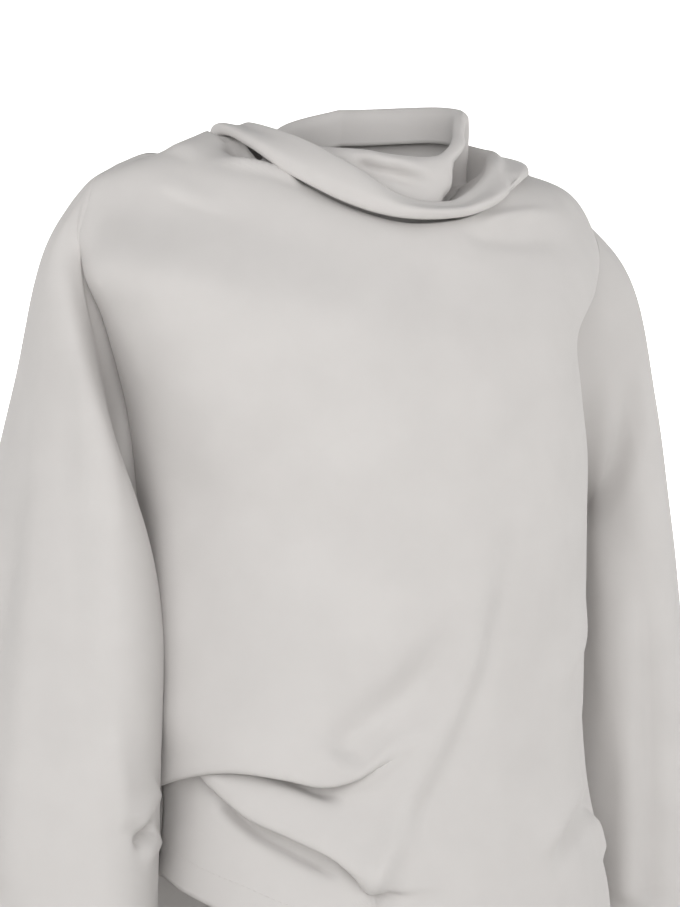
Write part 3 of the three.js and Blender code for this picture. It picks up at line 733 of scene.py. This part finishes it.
@dataclass
class Cloth:
    """A piece of cloth: a grid of points, made into a thin wall.

    points is columns x rows x 3. closed joins the last column to the first, mirrored says that
    the columns run from right to left as seen from outside, and hem is the depth of the cloth
    turned up inside its last row, which makes the wall's inner half hem_fullness times as thick.
    """

    name: str
    points: np.ndarray
    closed: bool = False
    mirrored: bool = False
    hem: float = 0.0
    thickness: float = 1.2
    hem_fullness: float = 3.0
    normals: np.ndarray = field(init=False)

    def __post_init__(self) -> None:
        """Works out the first normals."""
        self.find_normals()

    def find_normals(self) -> None:
        """Sets a normal at each point, out of the garment."""
        p = self.points
        if self.closed:
            across = np.roll(p, -1, axis=0) - np.roll(p, 1, axis=0)
        else:
            across = np.gradient(p, axis=0)
        normal = np.cross(np.gradient(p, axis=1), across)
        if self.mirrored:
            normal = -normal
        self.normals = normal / np.maximum(np.linalg.norm(normal, axis=2, keepdims=True), TINY)

    def corners(self) -> tuple:
        """Returns the four corners of each cell between the points, as indices of points."""
        columns, rows = self.points.shape[:2]
        index = np.arange(columns * rows).reshape(columns, rows)
        here = index if self.closed else index[:-1]
        ahead = np.roll(index, -1, axis=0) if self.closed else index[1:]
        return here[:, :-1], here[:, 1:], ahead[:, 1:], ahead[:, :-1]

    @cached_property
    def surface(self) -> BVHTree:
        """The cloth's surface before it is creased, for laying paths on it."""
        a, b, c, d = self.corners()
        faces = np.stack([a, d, c, b], axis=-1).reshape(-1, 4)
        return BVHTree.FromPolygons(self.points.reshape(-1, 3).tolist(), faces.tolist())

    def crease(self, lines: dict) -> None:
        """Moves the points along their normals by the creases and a slight unevenness.

        Args:
            lines: each crease's path on the cloth.
        """
        flat, facing = self.points.reshape(-1, 3), self.normals.reshape(-1, 3)
        moved = np.array([sum(swell.at(*point) for swell in SWELLS) for point in flat])
        for crease, line in lines.items():
            if self.name in crease.pieces:
                moved += crease.lift(line, flat)
        self.points = (flat + moved[:, None] * facing).reshape(self.points.shape)

    def above_hem(self) -> np.ndarray:
        """Returns each point's distance from its column's last row, along the cloth."""
        step = np.linalg.norm(np.diff(self.points, axis=1), axis=2)
        done = np.cumsum(step[:, ::-1], axis=1)[:, ::-1]
        return np.concatenate([done, np.zeros((len(done), 1))], axis=1)

    def row_above_hem(self, height: float) -> tuple:
        """Finds the line over the cloth's outside at a distance above the hem.

        Args:
            height: the distance.

        Returns:
            Its points and its normals, each as columns x 3.
        """
        far = self.above_hem()
        index = np.arange(len(far))
        below = np.argmax(far <= height, axis=1)
        share = (far[index, below - 1] - height) / (far[index, below - 1] - far[index, below])
        pair = [(grid[index, below - 1], grid[index, below]) for grid in (self.points, self.normals)]
        point, normal = (a + (b - a) * share[:, None] for a, b in pair)
        return point + normal * self.thickness / 2, normal

    def mesh(self) -> bpy.types.Object:
        """Builds the wall, with its UV map in metres of cloth.

        Returns:
            The object, at the origin.
        """
        half = self.thickness / 2
        full = np.where(self.above_hem() < self.hem, self.hem_fullness, 1.0)[..., None]
        skins = [self.points + half * self.normals, self.points - half * full * self.normals]
        verts = np.concatenate([skin.reshape(-1, 3) for skin in skins])
        count = len(verts) // 2
        a, b, c, d = self.corners()
        cells = [np.stack([a, b, c, d], axis=-1), np.stack([a, d, c, b], axis=-1) + count]
        edges = [(d[:, 0], a[:, 0]), (b[:, -1], c[:, -1])]
        if not self.closed:
            edges += [(a[0], b[0]), (c[-1], d[-1])]
        cells += [np.stack([p + count, q + count, q, p], axis=-1) for p, q in edges]
        faces = np.concatenate([cell.reshape(-1, 4) for cell in cells])
        if self.mirrored:
            faces = faces[:, ::-1]
        made = mesh_object(self.name, verts, faces.tolist())
        step_across = np.linalg.norm(np.diff(self.points, axis=0, append=self.points[:1]), axis=2)
        step_down = np.linalg.norm(np.diff(self.points, axis=1, append=self.points[:, -1:]), axis=2)
        u = np.cumsum(step_across.mean(axis=1)) * MM
        v = np.cumsum(step_down.mean(axis=0)) * MM
        uv = np.stack(np.meshgrid(u, v, indexing="ij"), axis=-1).reshape(-1, 2)
        layer = made.data.uv_layers.new(name="cloth")
        loops = np.empty(len(made.data.loops), dtype=np.int32)
        made.data.loops.foreach_get("vertex_index", loops)
        layer.data.foreach_set("uv", uv[loops % count].reshape(-1))
        return made


@dataclass(frozen=True)
class Stitches:
    """A row of short stitches of matching thread that holds a hem up.

    profile is the thickness along a stitch, as (share of its length, share of its radius).
    """

    above_hem: float = 22.0
    long: float = 2.6
    gap: float = 2.2
    radius: float = 0.3
    sides: int = 6
    profile: tuple = ((0.0, 0.4), (0.15, 1.0), (0.85, 1.0), (1.0, 0.4))

    def mesh(self, cloth: Cloth) -> bpy.types.Object:
        """Lays the stitches along one piece of cloth.

        Args:
            cloth: the piece, with its last row at the hem.

        Returns:
            The object, at the origin.
        """
        line, facing = cloth.row_above_hem(self.above_hem)
        if cloth.closed:
            line, facing = (np.concatenate([a, a[:1]]) for a in (line, facing))
        done = np.concatenate([[0.0], np.cumsum(np.linalg.norm(np.diff(line, axis=0), axis=1))])

        def at(far: float, values: np.ndarray) -> np.ndarray:
            """Reads the line's points or normals at a distance along it."""
            return np.array([np.interp(far, done, column) for column in values.T])

        verts, faces = [], []
        for start in np.arange(self.gap, done[-1] - self.long - self.gap, self.long + self.gap):
            first = len(verts)
            here, out = at(start, line), at(start, facing)
            whole = at(start + self.long, line) - here
            across = np.cross(whole / max(float(np.linalg.norm(whole)), TINY), out)
            for share, size in self.profile:
                for k in range(self.sides):
                    turn = 2 * math.pi * k / self.sides
                    ring = self.radius * size * (math.cos(turn) * out + math.sin(turn) * across)
                    verts.append(here + share * whole + ring)
            for ring in range(len(self.profile) - 1):
                for k in range(self.sides):
                    a, b = first + ring * self.sides + k, first + ring * self.sides + (k + 1) % self.sides
                    faces.append((a, b, b + self.sides, a + self.sides))
            last = len(verts) - self.sides
            faces.append(tuple(first + k for k in reversed(range(self.sides))))
            faces.append(tuple(last + k for k in range(self.sides)))
        return mesh_object(cloth.name.replace("cloth_", "stitches_"), np.array(verts), faces)


@dataclass(frozen=True)
class SeamPlace:
    """One place on the edge of a piece."""

    cloth: Cloth
    column: int
    row: int
    weight: float = 1.0


def join_seam(*places: SeamPlace) -> None:
    """Gives every piece the same point and normal where they are sewn."""
    point = sum(p.cloth.points[p.column, p.row] for p in places) / len(places)
    normal = sum(p.weight * p.cloth.normals[p.column, p.row] for p in places)
    normal = normal / max(float(np.linalg.norm(normal)), TINY)
    for p in places:
        p.cloth.points[p.column, p.row] = point
        p.cloth.normals[p.column, p.row] = normal


@dataclass
class Part:
    """A part of the garment: pieces of cloth that are sewn together."""

    pieces: dict = field(default_factory=dict, init=False)

    def sew(self) -> None:
        """Joins the pieces along their seams."""
        raise NotImplementedError

    def dress(self, lines: dict) -> None:
        """Creases the pieces and sews them.

        Args:
            lines: each crease's path on the cloth.
        """
        for cloth in self.pieces.values():
            cloth.crease(lines)
            cloth.find_normals()
        self.sew()


# The body and sleeves


@dataclass(frozen=True)
class BodyForm:
    """The form of the front, back and sleeves, as the CAD has it, in finer steps.

    The neck fields place the neckline inside the cowl's edge, the tuck_in fields say how much of a
    row turns into the armhole, the sleeve_lead fields from where a sleeve's curve comes to it, the
    sleeve_clear fields how far a sleeve stands off the body, the mouth fields where the upper tuck
    gapes, and the tuck_room fields how much further a sleeve stands off beside the tucks.
    """

    neck_seam: float = 102.0
    neck_inset: float = 9.0
    neck_below: float = 3.5
    neck_share: float = 0.34
    shoulder_columns: int = 44
    front_neck_columns: int = 64
    back_neck_columns: int = 44
    neck_rows: int = 14
    armhole_rows: int = 11
    tuck_in_share: float = 0.16
    tuck_in_full: float = 24.0
    waist_share: float = 0.5
    waist_rows: int = 12
    hem_rows: int = 18
    hem_depth: float = 24.0
    sleeve_rows: int = 26
    sleeve_lead_in: float = 42.0
    sleeve_lead_up: float = 34.0
    sleeve_inner_x: float = 215.0
    sleeve_clear: float = 5.0
    sleeve_clear_rate: float = 0.5
    mouth_from: float = 36.0
    mouth_soft: float = 12.0
    tuck_room_z: float = -405.0
    tuck_room_reach: float = 85.0
    tuck_room_right: float = 14.0
    tuck_room_left: float = 3.0

    def body_point(self, turn: float, z: float, out: float = 0.0) -> np.ndarray:
        """Finds a point of the body below the armpit.

        Args:
            turn: degrees round the body, 0 at the front and 90 at the right side.
            z: the height.
            out: how far it stands out of the body.

        Returns:
            The point.
        """
        section = row_at(BODY_SECTIONS, z)
        middle = (section.seam_right + section.seam_left) / 2

        def on(angle: float) -> np.ndarray:
            """Returns the point on the section at an angle in radians."""
            sine, cosine = math.sin(angle), math.cos(angle)
            wide = section.right if sine > 0 else section.left
            seam = mix(middle, section.seam_right if sine > 0 else section.seam_left, abs(sine))
            end = section.front if cosine > 0 else section.back
            return np.array([-wide * sine, seam + (end - seam) * abs(cosine), z])

        angle = math.radians(turn)
        here = on(angle)
        if out:
            ahead, behind = on(angle + math.radians(1)), on(angle - math.radians(1))
            way = np.array([behind[1] - ahead[1], ahead[0] - behind[0], 0.0])
            here = here + out * way / np.linalg.norm(way)
        return here

    def neckline_point(self, turn: float) -> np.ndarray:
        """Returns the point of the neckline at an angle round the neck."""
        r = along(COWL, "r_edge", turn) - self.neck_inset
        return neck_point(turn, r, along(COWL, "z_edge", turn) - self.neck_below)

    def shoulder_point(self, side: int, share: float) -> np.ndarray:
        """Returns the point of a shoulder seam, share 0 at the neck and 1 at the armhole."""
        start = self.neckline_point(-side * self.neck_seam)
        line = [ShoulderRow(side * start[0], start[1], start[2], start[2]), *SHOULDER_LINE]
        x = mix(line[0].x, line[-1].x, share)
        return np.array([side * x, along(line, "y", x), along(line, "right" if side < 0 else "left", x)])

    def top_point(self, is_front: bool, share: float) -> np.ndarray:
        """Returns a point of a panel's top edge, share -1 at the right and 1 at the left."""
        part, side = abs(share), -1 if share < 0 else 1
        if part > self.neck_share:
            return self.shoulder_point(side, (part - self.neck_share) / (1 - self.neck_share))
        way = part / self.neck_share
        turn = way * self.neck_seam if is_front else 180 - way * (180 - self.neck_seam)
        return self.neckline_point(-side * turn)

    def row_point(self, middle: MiddleRow, end: EndRow, side: int, share: float) -> np.ndarray:
        """Finds a point of a row above the armpit.

        Args:
            middle: the row at the middle of the body.
            end: the row at the armhole.
            side: the sign of x.
            share: 0 at the middle and 1 at the armhole.

        Returns:
            The point.
        """
        start = 1 - self.tuck_in_share * min(1.0, end.tuck_back / self.tuck_in_full)
        if share <= start:
            part = share / start
            angle = (part + middle.fan * part * (1 - part) ** 2) * math.pi / 2
            turned = math.sin(angle) ** 2
            y = end.y + (middle.y - end.y) * max(math.cos(angle), 0.0) ** middle.spread
            z = mix(middle.z, end.z, turned) + middle.rise * 4 * turned * (1 - turned)
            return np.array([side * end.wide * math.sin(angle), y, z])
        t = (share - start) / (1 - start)
        curl = math.radians(end.curl)
        size = math.hypot(end.tuck_in, end.tuck_back)

        def bend(to: float, first: float, last: float) -> float:
            """Returns a smooth step with a slope at each end."""
            return to * smoothstep(t) + size * (first * t * (1 - t) ** 2 - last * t * t * (1 - t))

        x = end.wide - bend(end.tuck_in, 0.0, math.sin(curl))
        return np.array([side * x, end.y + bend(end.tuck_back, 1.0, math.cos(curl)), end.z])

    def lower_stops(self, turn: float) -> tuple:
        """Lists the stops from the armpit to the hem at an angle round the body.

        Args:
            turn: degrees round the body.

        Returns:
            The points and the number of rows that lead to each.
        """
        hip = row_at(HIP, turn)
        points, rows = [], []

        def add(z: float, out: float, count: int) -> None:
            """Adds a stop."""
            points.append(self.body_point(turn, z, out))
            rows.append(count)

        def over(tuck: tuple, z: float, deep: float, part: float = 1.0) -> None:
            """Adds the stops of a tuck that is as deep as given, folding only a part of it."""
            for stop in tuck:
                add(z + mix(stop.flat, stop.folded, deep * part), stop.out * deep, stop.rows)

        add(mix(BODY_SECTIONS[0].z, hip.upper + UPPER_TUCK[0].flat, self.waist_share), 0.0, self.waist_rows)
        over(UPPER_TUCK, hip.upper, hip.upper_deep)
        room = min(max((hip.upper - hip.lower - self.mouth_from) / self.mouth_soft, 0.0), 1.0)
        over((MOUTH,), hip.upper, hip.upper_deep, room)
        over((RIDGE,), mix(hip.upper, hip.lower, 0.5), hip.lower_deep)
        over(LOWER_TUCK, hip.lower, hip.lower_deep)
        add(hip.hem, 0.0, self.hem_rows)
        return points, rows

    def panel(self, is_front: bool) -> np.ndarray:
        """Makes the grid of the front or the back.

        Args:
            is_front: True for the front.

        Returns:
            Its points, as columns x rows x 3.
        """
        neck_columns = self.front_neck_columns if is_front else self.back_neck_columns
        outer = np.linspace(-1, -self.neck_share, self.shoulder_columns + 1)[:-1]
        inner = np.linspace(-self.neck_share, self.neck_share, neck_columns + 1)
        middle = FRONT_MIDDLE if is_front else BACK_MIDDLE
        right, left = (FRONT_RIGHT, FRONT_LEFT) if is_front else (BACK_RIGHT, BACK_LEFT)
        columns, rows = [], []
        for share in np.concatenate([outer, inner, -outer[::-1]]).tolist():
            side, part = (-1 if share < 0 else 1), abs(share)
            ends = right if side < 0 else left
            stops = [self.top_point(is_front, share)]
            stops += [self.row_point(row, end, side, part) for row, end in zip(middle, ends)]
            lower, counts = self.lower_stops(-side * (90 * part if is_front else 180 - 90 * part))
            columns.append(stops + lower)
            rows = [0, self.neck_rows] + [self.armhole_rows] * (len(middle) - 1) + counts
        return smooth_rows(np.array(columns), rows)

    @property
    def last_armhole_row(self) -> int:
        """The row of a panel that lies at the armpit."""
        return self.neck_rows + self.armhole_rows * (len(FRONT_MIDDLE) - 1)

    def body_reach(self, side: int, y: float, z: float) -> float:
        """Returns how far the side of the body reaches at this place."""
        right = side < 0
        seam = along(BODY_SECTIONS, "seam_right" if right else "seam_left", z)
        end = along(BODY_SECTIONS, "front" if y < seam else "back", z)
        part = min(max((y - seam) / (end - seam), 0.0), 1.0)
        return along(BODY_SECTIONS, "right" if right else "left", z) * math.sqrt(1 - part * part)

    def sleeve(self, side: int, ring: np.ndarray) -> np.ndarray:
        """Makes the grid of a sleeve, which keeps clear of the body.

        Args:
            side: the sign of x.
            ring: the armhole's points, from the shoulder down the front and up the back.

        Returns:
            Its points, as columns x rows x 3.
        """
        rings = RIGHT_SLEEVE if side < 0 else LEFT_SLEEVE
        count = len(ring)
        angle = 2 * np.pi * self.ring_shares()
        cosine, sine = np.cos(angle), np.sin(angle)
        stops = [ring]
        for row in rings:
            x = side * (row.x + np.where(cosine > 0, row.out, row.inner) * cosine)
            y = row.y - np.where(sine > 0, row.front, row.back) * sine
            z = row.z_in + (row.z_out - row.z_in) * (1 + cosine) / 2
            stops.append(np.stack([x, y, z], axis=1))
        lead_in, lead_up = np.full(count, self.sleeve_lead_in), self.sleeve_lead_up * np.maximum(cosine, 0)
        lead = ring + np.stack([-side * lead_in, np.zeros(count), lead_up], axis=1)
        made = smooth_rows(np.stack(stops, axis=1), [0] + [self.sleeve_rows] * len(rings), lead)
        room_by_tuck = self.tuck_room_right if side < 0 else self.tuck_room_left
        for i in range(count):
            for j in range(1, made.shape[1]):
                x, y, z = made[i, j]
                if z > BODY_SECTIONS[0].z or side * x > self.sleeve_inner_x:
                    continue
                near = max(0.0, 1 - abs(z - self.tuck_room_z) / self.tuck_room_reach)
                room = self.sleeve_clear + room_by_tuck * near * (2 - near)
                far = float(np.linalg.norm(made[i, j] - ring[i]))
                least = self.body_reach(side, y, z) + min(room, self.sleeve_clear_rate * far)
                made[i, j, 0] = side * max(side * x, least)
        return made

    def ring_shares(self) -> np.ndarray:
        """Returns each armhole point's share of the way round the sleeve."""
        row = np.arange(self.last_armhole_row + 1)
        below = row - self.neck_rows
        down = np.where(below <= 0, row / self.neck_rows, 1 + below / self.armhole_rows)
        half = down / (2 * len(FRONT_MIDDLE))
        return np.concatenate([half, 1 - half[-2:0:-1]])


@dataclass
class Shell(Part):
    """The front, back and sleeves, sewn so that their surfaces run on through the seams."""

    form: BodyForm = field(default_factory=BodyForm)

    def build(self) -> dict:
        """Makes the four pieces of cloth.

        Returns:
            The pieces by name.
        """
        depth, last = self.form.hem_depth, self.form.last_armhole_row
        front = Cloth(FRONT, self.form.panel(True), hem=depth)
        back = Cloth(BACK, self.form.panel(False), mirrored=True, hem=depth)
        self.pieces = {FRONT: front, BACK: back}
        for side, edge, name in ((-1, 0, SLEEVE_RIGHT), (1, -1, SLEEVE_LEFT)):
            for j in (0, last):
                middle = (front.points[edge, j] + back.points[edge, j]) / 2
                front.points[edge, j] = middle
                back.points[edge, j] = middle
            ring = np.concatenate([front.points[edge, : last + 1], back.points[edge, last - 1 : 0 : -1]])
            grid = self.form.sleeve(side, ring)
            self.pieces[name] = Cloth(name, grid, closed=True, mirrored=side > 0, hem=depth)
        self.sew()
        return self.pieces

    def sew(self) -> None:
        """Joins the pieces along the armholes, sides and shoulders."""
        front, back = self.pieces[FRONT], self.pieces[BACK]
        last = self.form.last_armhole_row
        for edge, name in ((0, SLEEVE_RIGHT), (-1, SLEEVE_LEFT)):
            sleeve = self.pieces[name]
            for j in (0, last):
                panels = SeamPlace(front, edge, j, 0.5), SeamPlace(back, edge, j, 0.5)
                join_seam(*panels, SeamPlace(sleeve, j, 0))
            for j in range(1, last):
                join_seam(SeamPlace(front, edge, j), SeamPlace(sleeve, j, 0))
                join_seam(SeamPlace(back, edge, j), SeamPlace(sleeve, 2 * last - j, 0))
            for j in range(last + 1, front.points.shape[1]):
                join_seam(SeamPlace(front, edge, j), SeamPlace(back, edge, j))
        for i in range(1, self.form.shoulder_columns + 1):
            join_seam(SeamPlace(front, i, 0), SeamPlace(back, i, 0))
            join_seam(SeamPlace(front, -1 - i, 0), SeamPlace(back, -1 - i, 0))


# The cowl


@dataclass(frozen=True)
class CornerStop:
    """The funnel's corner fold at one height: where it falls in, how far, and its crest."""

    start: float
    end: float
    deep: float
    crest: float


CORNER = {
    "top": CornerStop(-72, -36, 3, 0.8),
    "middle": CornerStop(-78, -15, 16, 2.5),
    "low": CornerStop(-76, -5, 14, 3.0),
    "hollow": CornerStop(-74, -3, 9, 1.5),
}


@dataclass(frozen=True)
class Settling:
    """A part of the roll that settles on the shoulder: its edge spreads and drops, or its back fills out."""

    middle: float
    reach: float
    out: float
    down: float
    lift: float

    def share(self, turn: float) -> float:
        """Returns how far the roll has settled at an angle round the neck, 0 to 1."""
        return smoothstep(1 - abs(turn - self.middle) / self.reach)


SETTLING = (Settling(126, 34, 10, 6, 3), Settling(112, 40, 0, 0, 2), Settling(-84, 36, 7, 6, 0))


@dataclass
class Cowl(Part):
    """The cowl: an outer roll and an inner funnel, as two tubes round the neck.

    The roll climbs from the hollow between them to its top, lies over its bulge and ends in an edge
    that is turned under. The funnel goes down from its turned-in rim, over its neck, to the hollow.
    """

    under: float = 7.0
    under_up: float = 1.0
    turn_in: float = 26.0
    fold: float = 4.5
    crown_down: float = 1.0
    columns: int = 260
    corner_soft: float = 11.0
    climb_out: float = 0.5
    climb_up: float = 0.4
    bulge_out: float = 0.75
    bulge_down: float = 0.6
    rim_out: float = 0.15
    neck_out: float = 0.5
    neck_down: float = 0.6
    roll_rows: tuple = (0, 5, 6, 6, 6, 8, 4)
    funnel_rows: tuple = (0, 8, 5, 5, 6, 5, 4)

    def build(self) -> dict:
        """Makes the two tubes.

        Returns:
            The pieces by name.
        """
        outer, inner = [], []
        for turn in (180 - 360 * i / self.columns for i in range(self.columns)):
            row = row_at(COWL, turn)
            outer.append([neck_point(turn, r, z) for r, z in self.roll_section(row)])
            inner.append([neck_point(turn, r, z) for r, z in self.funnel_section(row)])
        roll = Cloth(ROLL, smooth_rows(np.array(outer), self.roll_rows), closed=True)
        funnel = Cloth(FUNNEL, smooth_rows(np.array(inner), self.funnel_rows), closed=True)
        self.pieces = {ROLL: roll, FUNNEL: funnel}
        return self.pieces

    def sew(self) -> None:
        """Joins the two tubes in the hollow between them."""
        roll, funnel = self.pieces[ROLL], self.pieces[FUNNEL]
        for i in range(self.columns):
            join_seam(SeamPlace(roll, i, 0), SeamPlace(funnel, i, -1))

    def fall(self, stop: CornerStop, turn: float) -> float:
        """Returns how far the funnel stands in or out by its corner fold.

        Args:
            stop: the depth and the two ends of the fallen part, at one height.
            turn: degrees round the neck.

        Returns:
            The change of radius.
        """
        soft = self.corner_soft
        inside = smoothstep((turn - stop.start) / soft) * smoothstep((stop.end - turn) / soft)
        crest = math.exp(-(((turn - stop.end - soft / 2) / soft) ** 2))
        return stop.crest * crest - stop.deep * inside

    def roll_section(self, row: CowlRow) -> list:
        """Returns the stops of the roll's section as (radius, height)."""
        hollow = row.r_hollow + self.fall(CORNER["hollow"], row.round)
        settled = [(one, one.share(row.round)) for one in SETTLING]
        r_edge = row.r_edge + sum(one.out * share for one, share in settled)
        z_edge = row.z_edge - sum(one.down * share for one, share in settled)
        lift = sum(one.lift * share for one, share in settled)
        bulge = mix(row.r_top, r_edge, self.bulge_out), mix(row.z_top, z_edge, self.bulge_down)
        return [
            (hollow, row.z_hollow),
            (mix(hollow, row.r_top, self.climb_out), mix(row.z_hollow, row.z_top, self.climb_up)),
            (row.r_top - self.fold / 2, row.z_top - self.crown_down),
            (row.r_top + self.fold, row.z_top - self.fold + lift / 2),
            (bulge[0] + self.fold, bulge[1] + lift),
            (r_edge, z_edge),
            (r_edge - self.under, z_edge + self.under_up),
        ]

    def funnel_section(self, row: CowlRow) -> list:
        """Returns the stops of the funnel's section as (radius, height)."""
        rim, hollow, top = row.r_rim, row.r_hollow, row.z_rim - self.fold
        fall = {name: self.fall(stop, row.round) for name, stop in CORNER.items()}
        neck = mix(rim, hollow, self.neck_out), mix(row.z_rim, row.z_hollow, self.neck_down)
        return [
            (rim - self.fold, row.z_rim - self.turn_in),
            (rim - self.fold, top),
            (rim, row.z_rim),
            (mix(rim, hollow, self.rim_out) + self.fold + fall["top"], top),
            (neck[0] + self.fold / 2 + fall["middle"], neck[1]),
            (hollow - self.fold / 2 + fall["low"], row.z_hollow + self.fold / 2),
            (hollow + fall["hollow"], row.z_hollow),
        ]


# Finish


@dataclass(frozen=True)
class CrepeFinish:
    """Heavy polyester crepe, woven of twisted yarn and pressed smooth.

    The twisted yarn gives a matt, slightly grained surface with a soft bloom at its edges.
    """

    colour: str = "#c7c4c2"
    shade: str = "#c3c0be"
    shade_up_to: float = 0.3
    colour_from: float = 0.7
    mottle_mm: float = 45.0
    mottle_detail: float = 3.0
    grain_mm: float = 0.9
    grain_detail: float = 4.0
    grain_roughness: float = 0.6
    grain_strength: float = 0.12
    grain_depth: float = 0.0004
    roughness: float = 0.86
    specular: float = 0.25
    sheen: float = 0.12
    sheen_roughness: float = 0.5

    def material(self) -> bpy.types.Material:
        """Builds the node material.

        Returns:
            The material.
        """
        material = bpy.data.materials.new("crepe_cloth")
        material.use_nodes = True
        tree = material.node_tree
        tree.nodes.clear()

        def node(kind: str, **inputs: object) -> bpy.types.Node:
            """Adds a node and sets or links its inputs."""
            made = tree.nodes.new(kind)
            for name, value in inputs.items():
                socket = made.inputs[name.replace("_", " ")]
                if isinstance(value, bpy.types.NodeSocket):
                    tree.links.new(value, socket)
                else:
                    socket.default_value = value
            return made

        def noise_of(size_mm: float, detail: float, **inputs: object) -> bpy.types.NodeSocket:
            """Adds a noise with swells of a size in millimetres."""
            made = node("ShaderNodeTexNoise", Vector=place, Scale=1 / (size_mm * MM), Detail=detail, **inputs)
            return made.outputs["Fac"]

        place = node("ShaderNodeTexCoord").outputs["Object"]
        ramp = node("ShaderNodeValToRGB", Fac=noise_of(self.mottle_mm, self.mottle_detail))
        stops = ((self.shade_up_to, self.shade), (self.colour_from, self.colour))
        for element, (position, colour) in zip(ramp.color_ramp.elements, stops):
            element.position = position
            element.color = linear(colour)
        grain = noise_of(self.grain_mm, self.grain_detail, Roughness=self.grain_roughness)
        bump = node("ShaderNodeBump", Height=grain, Strength=self.grain_strength, Distance=self.grain_depth)
        shader = node(
            "ShaderNodeBsdfPrincipled",
            Base_Color=ramp.outputs["Color"],
            Roughness=self.roughness,
            Sheen_Weight=self.sheen,
            Sheen_Roughness=self.sheen_roughness,
            Specular_IOR_Level=self.specular,
            Normal=bump.outputs["Normal"],
        )
        node("ShaderNodeOutputMaterial", Surface=shader.outputs["BSDF"])
        return material


# Stage


@dataclass(frozen=True)
class Lamp:
    """A soft square lamp that stands round the top and isn't seen itself."""

    name: str
    azimuth: float
    height: float
    power: float
    size: float = 2.4
    distance: float = 2.4
    aim_z: float = -0.25

    def place(self) -> None:
        """Adds the lamp."""
        data = bpy.data.lights.new(self.name, "AREA")
        data.size = self.size
        data.energy = self.power
        place = self.distance * view_axes(self.azimuth)[0] + Vector((0, 0, self.height))
        looking_object(self.name, data, place, Vector((0, 0, self.aim_z))).visible_camera = False


LAMPS = (
    Lamp("key", 310.0, 0.9, 21.8),
    Lamp("front", 330.0, 0.1, 18.7),
    Lamp("above", 330.0, 2.2, 7.7),
    Lamp("side", 70.0, 0.3, 23.8),
    Lamp("rear", 190.0, 0.6, 18.0),
)


@dataclass(frozen=True)
class Studio:
    """A plain pale floor, soft light and the camera at the photograph's angle."""

    azimuth: float = 330.0
    distance: float = 2.8
    aim_z: float = -0.2
    slide: float = 0.0321
    lens: float = 155.5
    floor_z: float = -0.7
    floor_size: float = 14.0
    wall_reach: float = 6.0
    wall_high: float = 1.9
    wall_sides: int = 96
    paint: str = "#f7f6f4"
    paint_roughness: float = 0.9
    light: str = "#ffffff"
    sky: float = 0.18

    def camera(self) -> None:
        """Adds the camera."""
        away, across = view_axes(self.azimuth)
        data = bpy.data.cameras.new("camera")
        data.lens = self.lens
        aim = Vector((0, 0, self.aim_z)) - across * self.slide
        bpy.context.scene.camera = looking_object("camera", data, aim + away * self.distance, aim)

    def floor(self) -> None:
        """Adds the pale floor and, far off all round, a low white wall that glows evenly."""
        bpy.ops.mesh.primitive_plane_add(size=self.floor_size, location=(0, 0, self.floor_z))
        self.stage("studio_floor", glow=0.0)
        bpy.ops.mesh.primitive_cylinder_add(
            vertices=self.wall_sides,
            radius=self.wall_reach,
            depth=self.wall_high,
            end_fill_type="NOTHING",
            location=(0, 0, self.floor_z + self.wall_high / 2),
        )
        self.stage("studio_wall", glow=1.0)

    def stage(self, name: str, glow: float) -> None:
        """Names the active object, paints it white and puts it on the stage.

        Args:
            name: the object's name.
            glow: how brightly it shines.
        """
        made = bpy.context.object
        made.name = name
        material = bpy.data.materials.new(f"{name}_white")
        material.use_nodes = True
        shader = material.node_tree.nodes["Principled BSDF"]
        shader.inputs["Base Color"].default_value = linear(self.paint)
        shader.inputs["Roughness"].default_value = self.paint_roughness
        shader.inputs["Emission Color"].default_value = linear(self.light)
        shader.inputs["Emission Strength"].default_value = glow
        made.data.materials.append(material)

    def lights(self) -> None:
        """Adds the soft lights and the pale surroundings."""
        world = bpy.data.worlds.new("studio")
        bpy.context.scene.world = world
        world.use_nodes = True
        world.node_tree.nodes["Background"].inputs["Color"].default_value = linear(self.light)
        world.node_tree.nodes["Background"].inputs["Strength"].default_value = self.sky
        bpy.context.scene.view_settings.view_transform = "Standard"
        for lamp in LAMPS:
            lamp.place()


# Cut sizes


@dataclass(frozen=True)
class Cut:
    """The flat size that a piece is cut to, in metres, and what carries it."""

    node: str
    wide: float
    long: float
    area: float
    rests_on: tuple


CUTS = (
    Cut("front", 0.58, 0.66, 0.29, (ROLL,)),
    Cut("back", 0.48, 0.62, 0.24, (FRONT,)),
    Cut("sleeve_right", 0.62, 0.62, 0.25, (FRONT, BACK)),
    Cut("sleeve_left", 0.62, 0.62, 0.25, (FRONT, BACK)),
    Cut("cowl_roll", 0.6, 0.06, 0.033, (FRONT, BACK)),
    Cut("cowl_funnel", 0.46, 0.09, 0.03, (ROLL,)),
)


def main() -> None:
    """Builds the top and its stage."""
    logging.basicConfig(level=logging.INFO, format="%(message)s")
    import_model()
    studio = Studio()
    studio.camera()
    studio.lights()
    studio.floor()
    shell, cowl = Shell(), Cowl()
    cloths = {**shell.build(), **cowl.build()}
    lines = {crease: crease.line(seen, cloths) for seen, creases in CREASES.items() for crease in creases}
    shell.dress(lines)
    cowl.dress(lines)
    crepe = CrepeFinish().material()
    for cut in CUTS:
        cloth = cloths[f"cloth_{cut.node}"]
        made = cloth.mesh()
        made.data.materials.append(crepe)
        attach(made, BODY)
        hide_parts(cut.node)
        LOG.info("%s: %d faces", made.name, len(made.data.polygons))
        if cloth.hem:
            thread = Stitches().mesh(cloth)
            thread.data.materials.append(crepe)
            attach(thread, BODY)


if __name__ == "__main__":
    main()
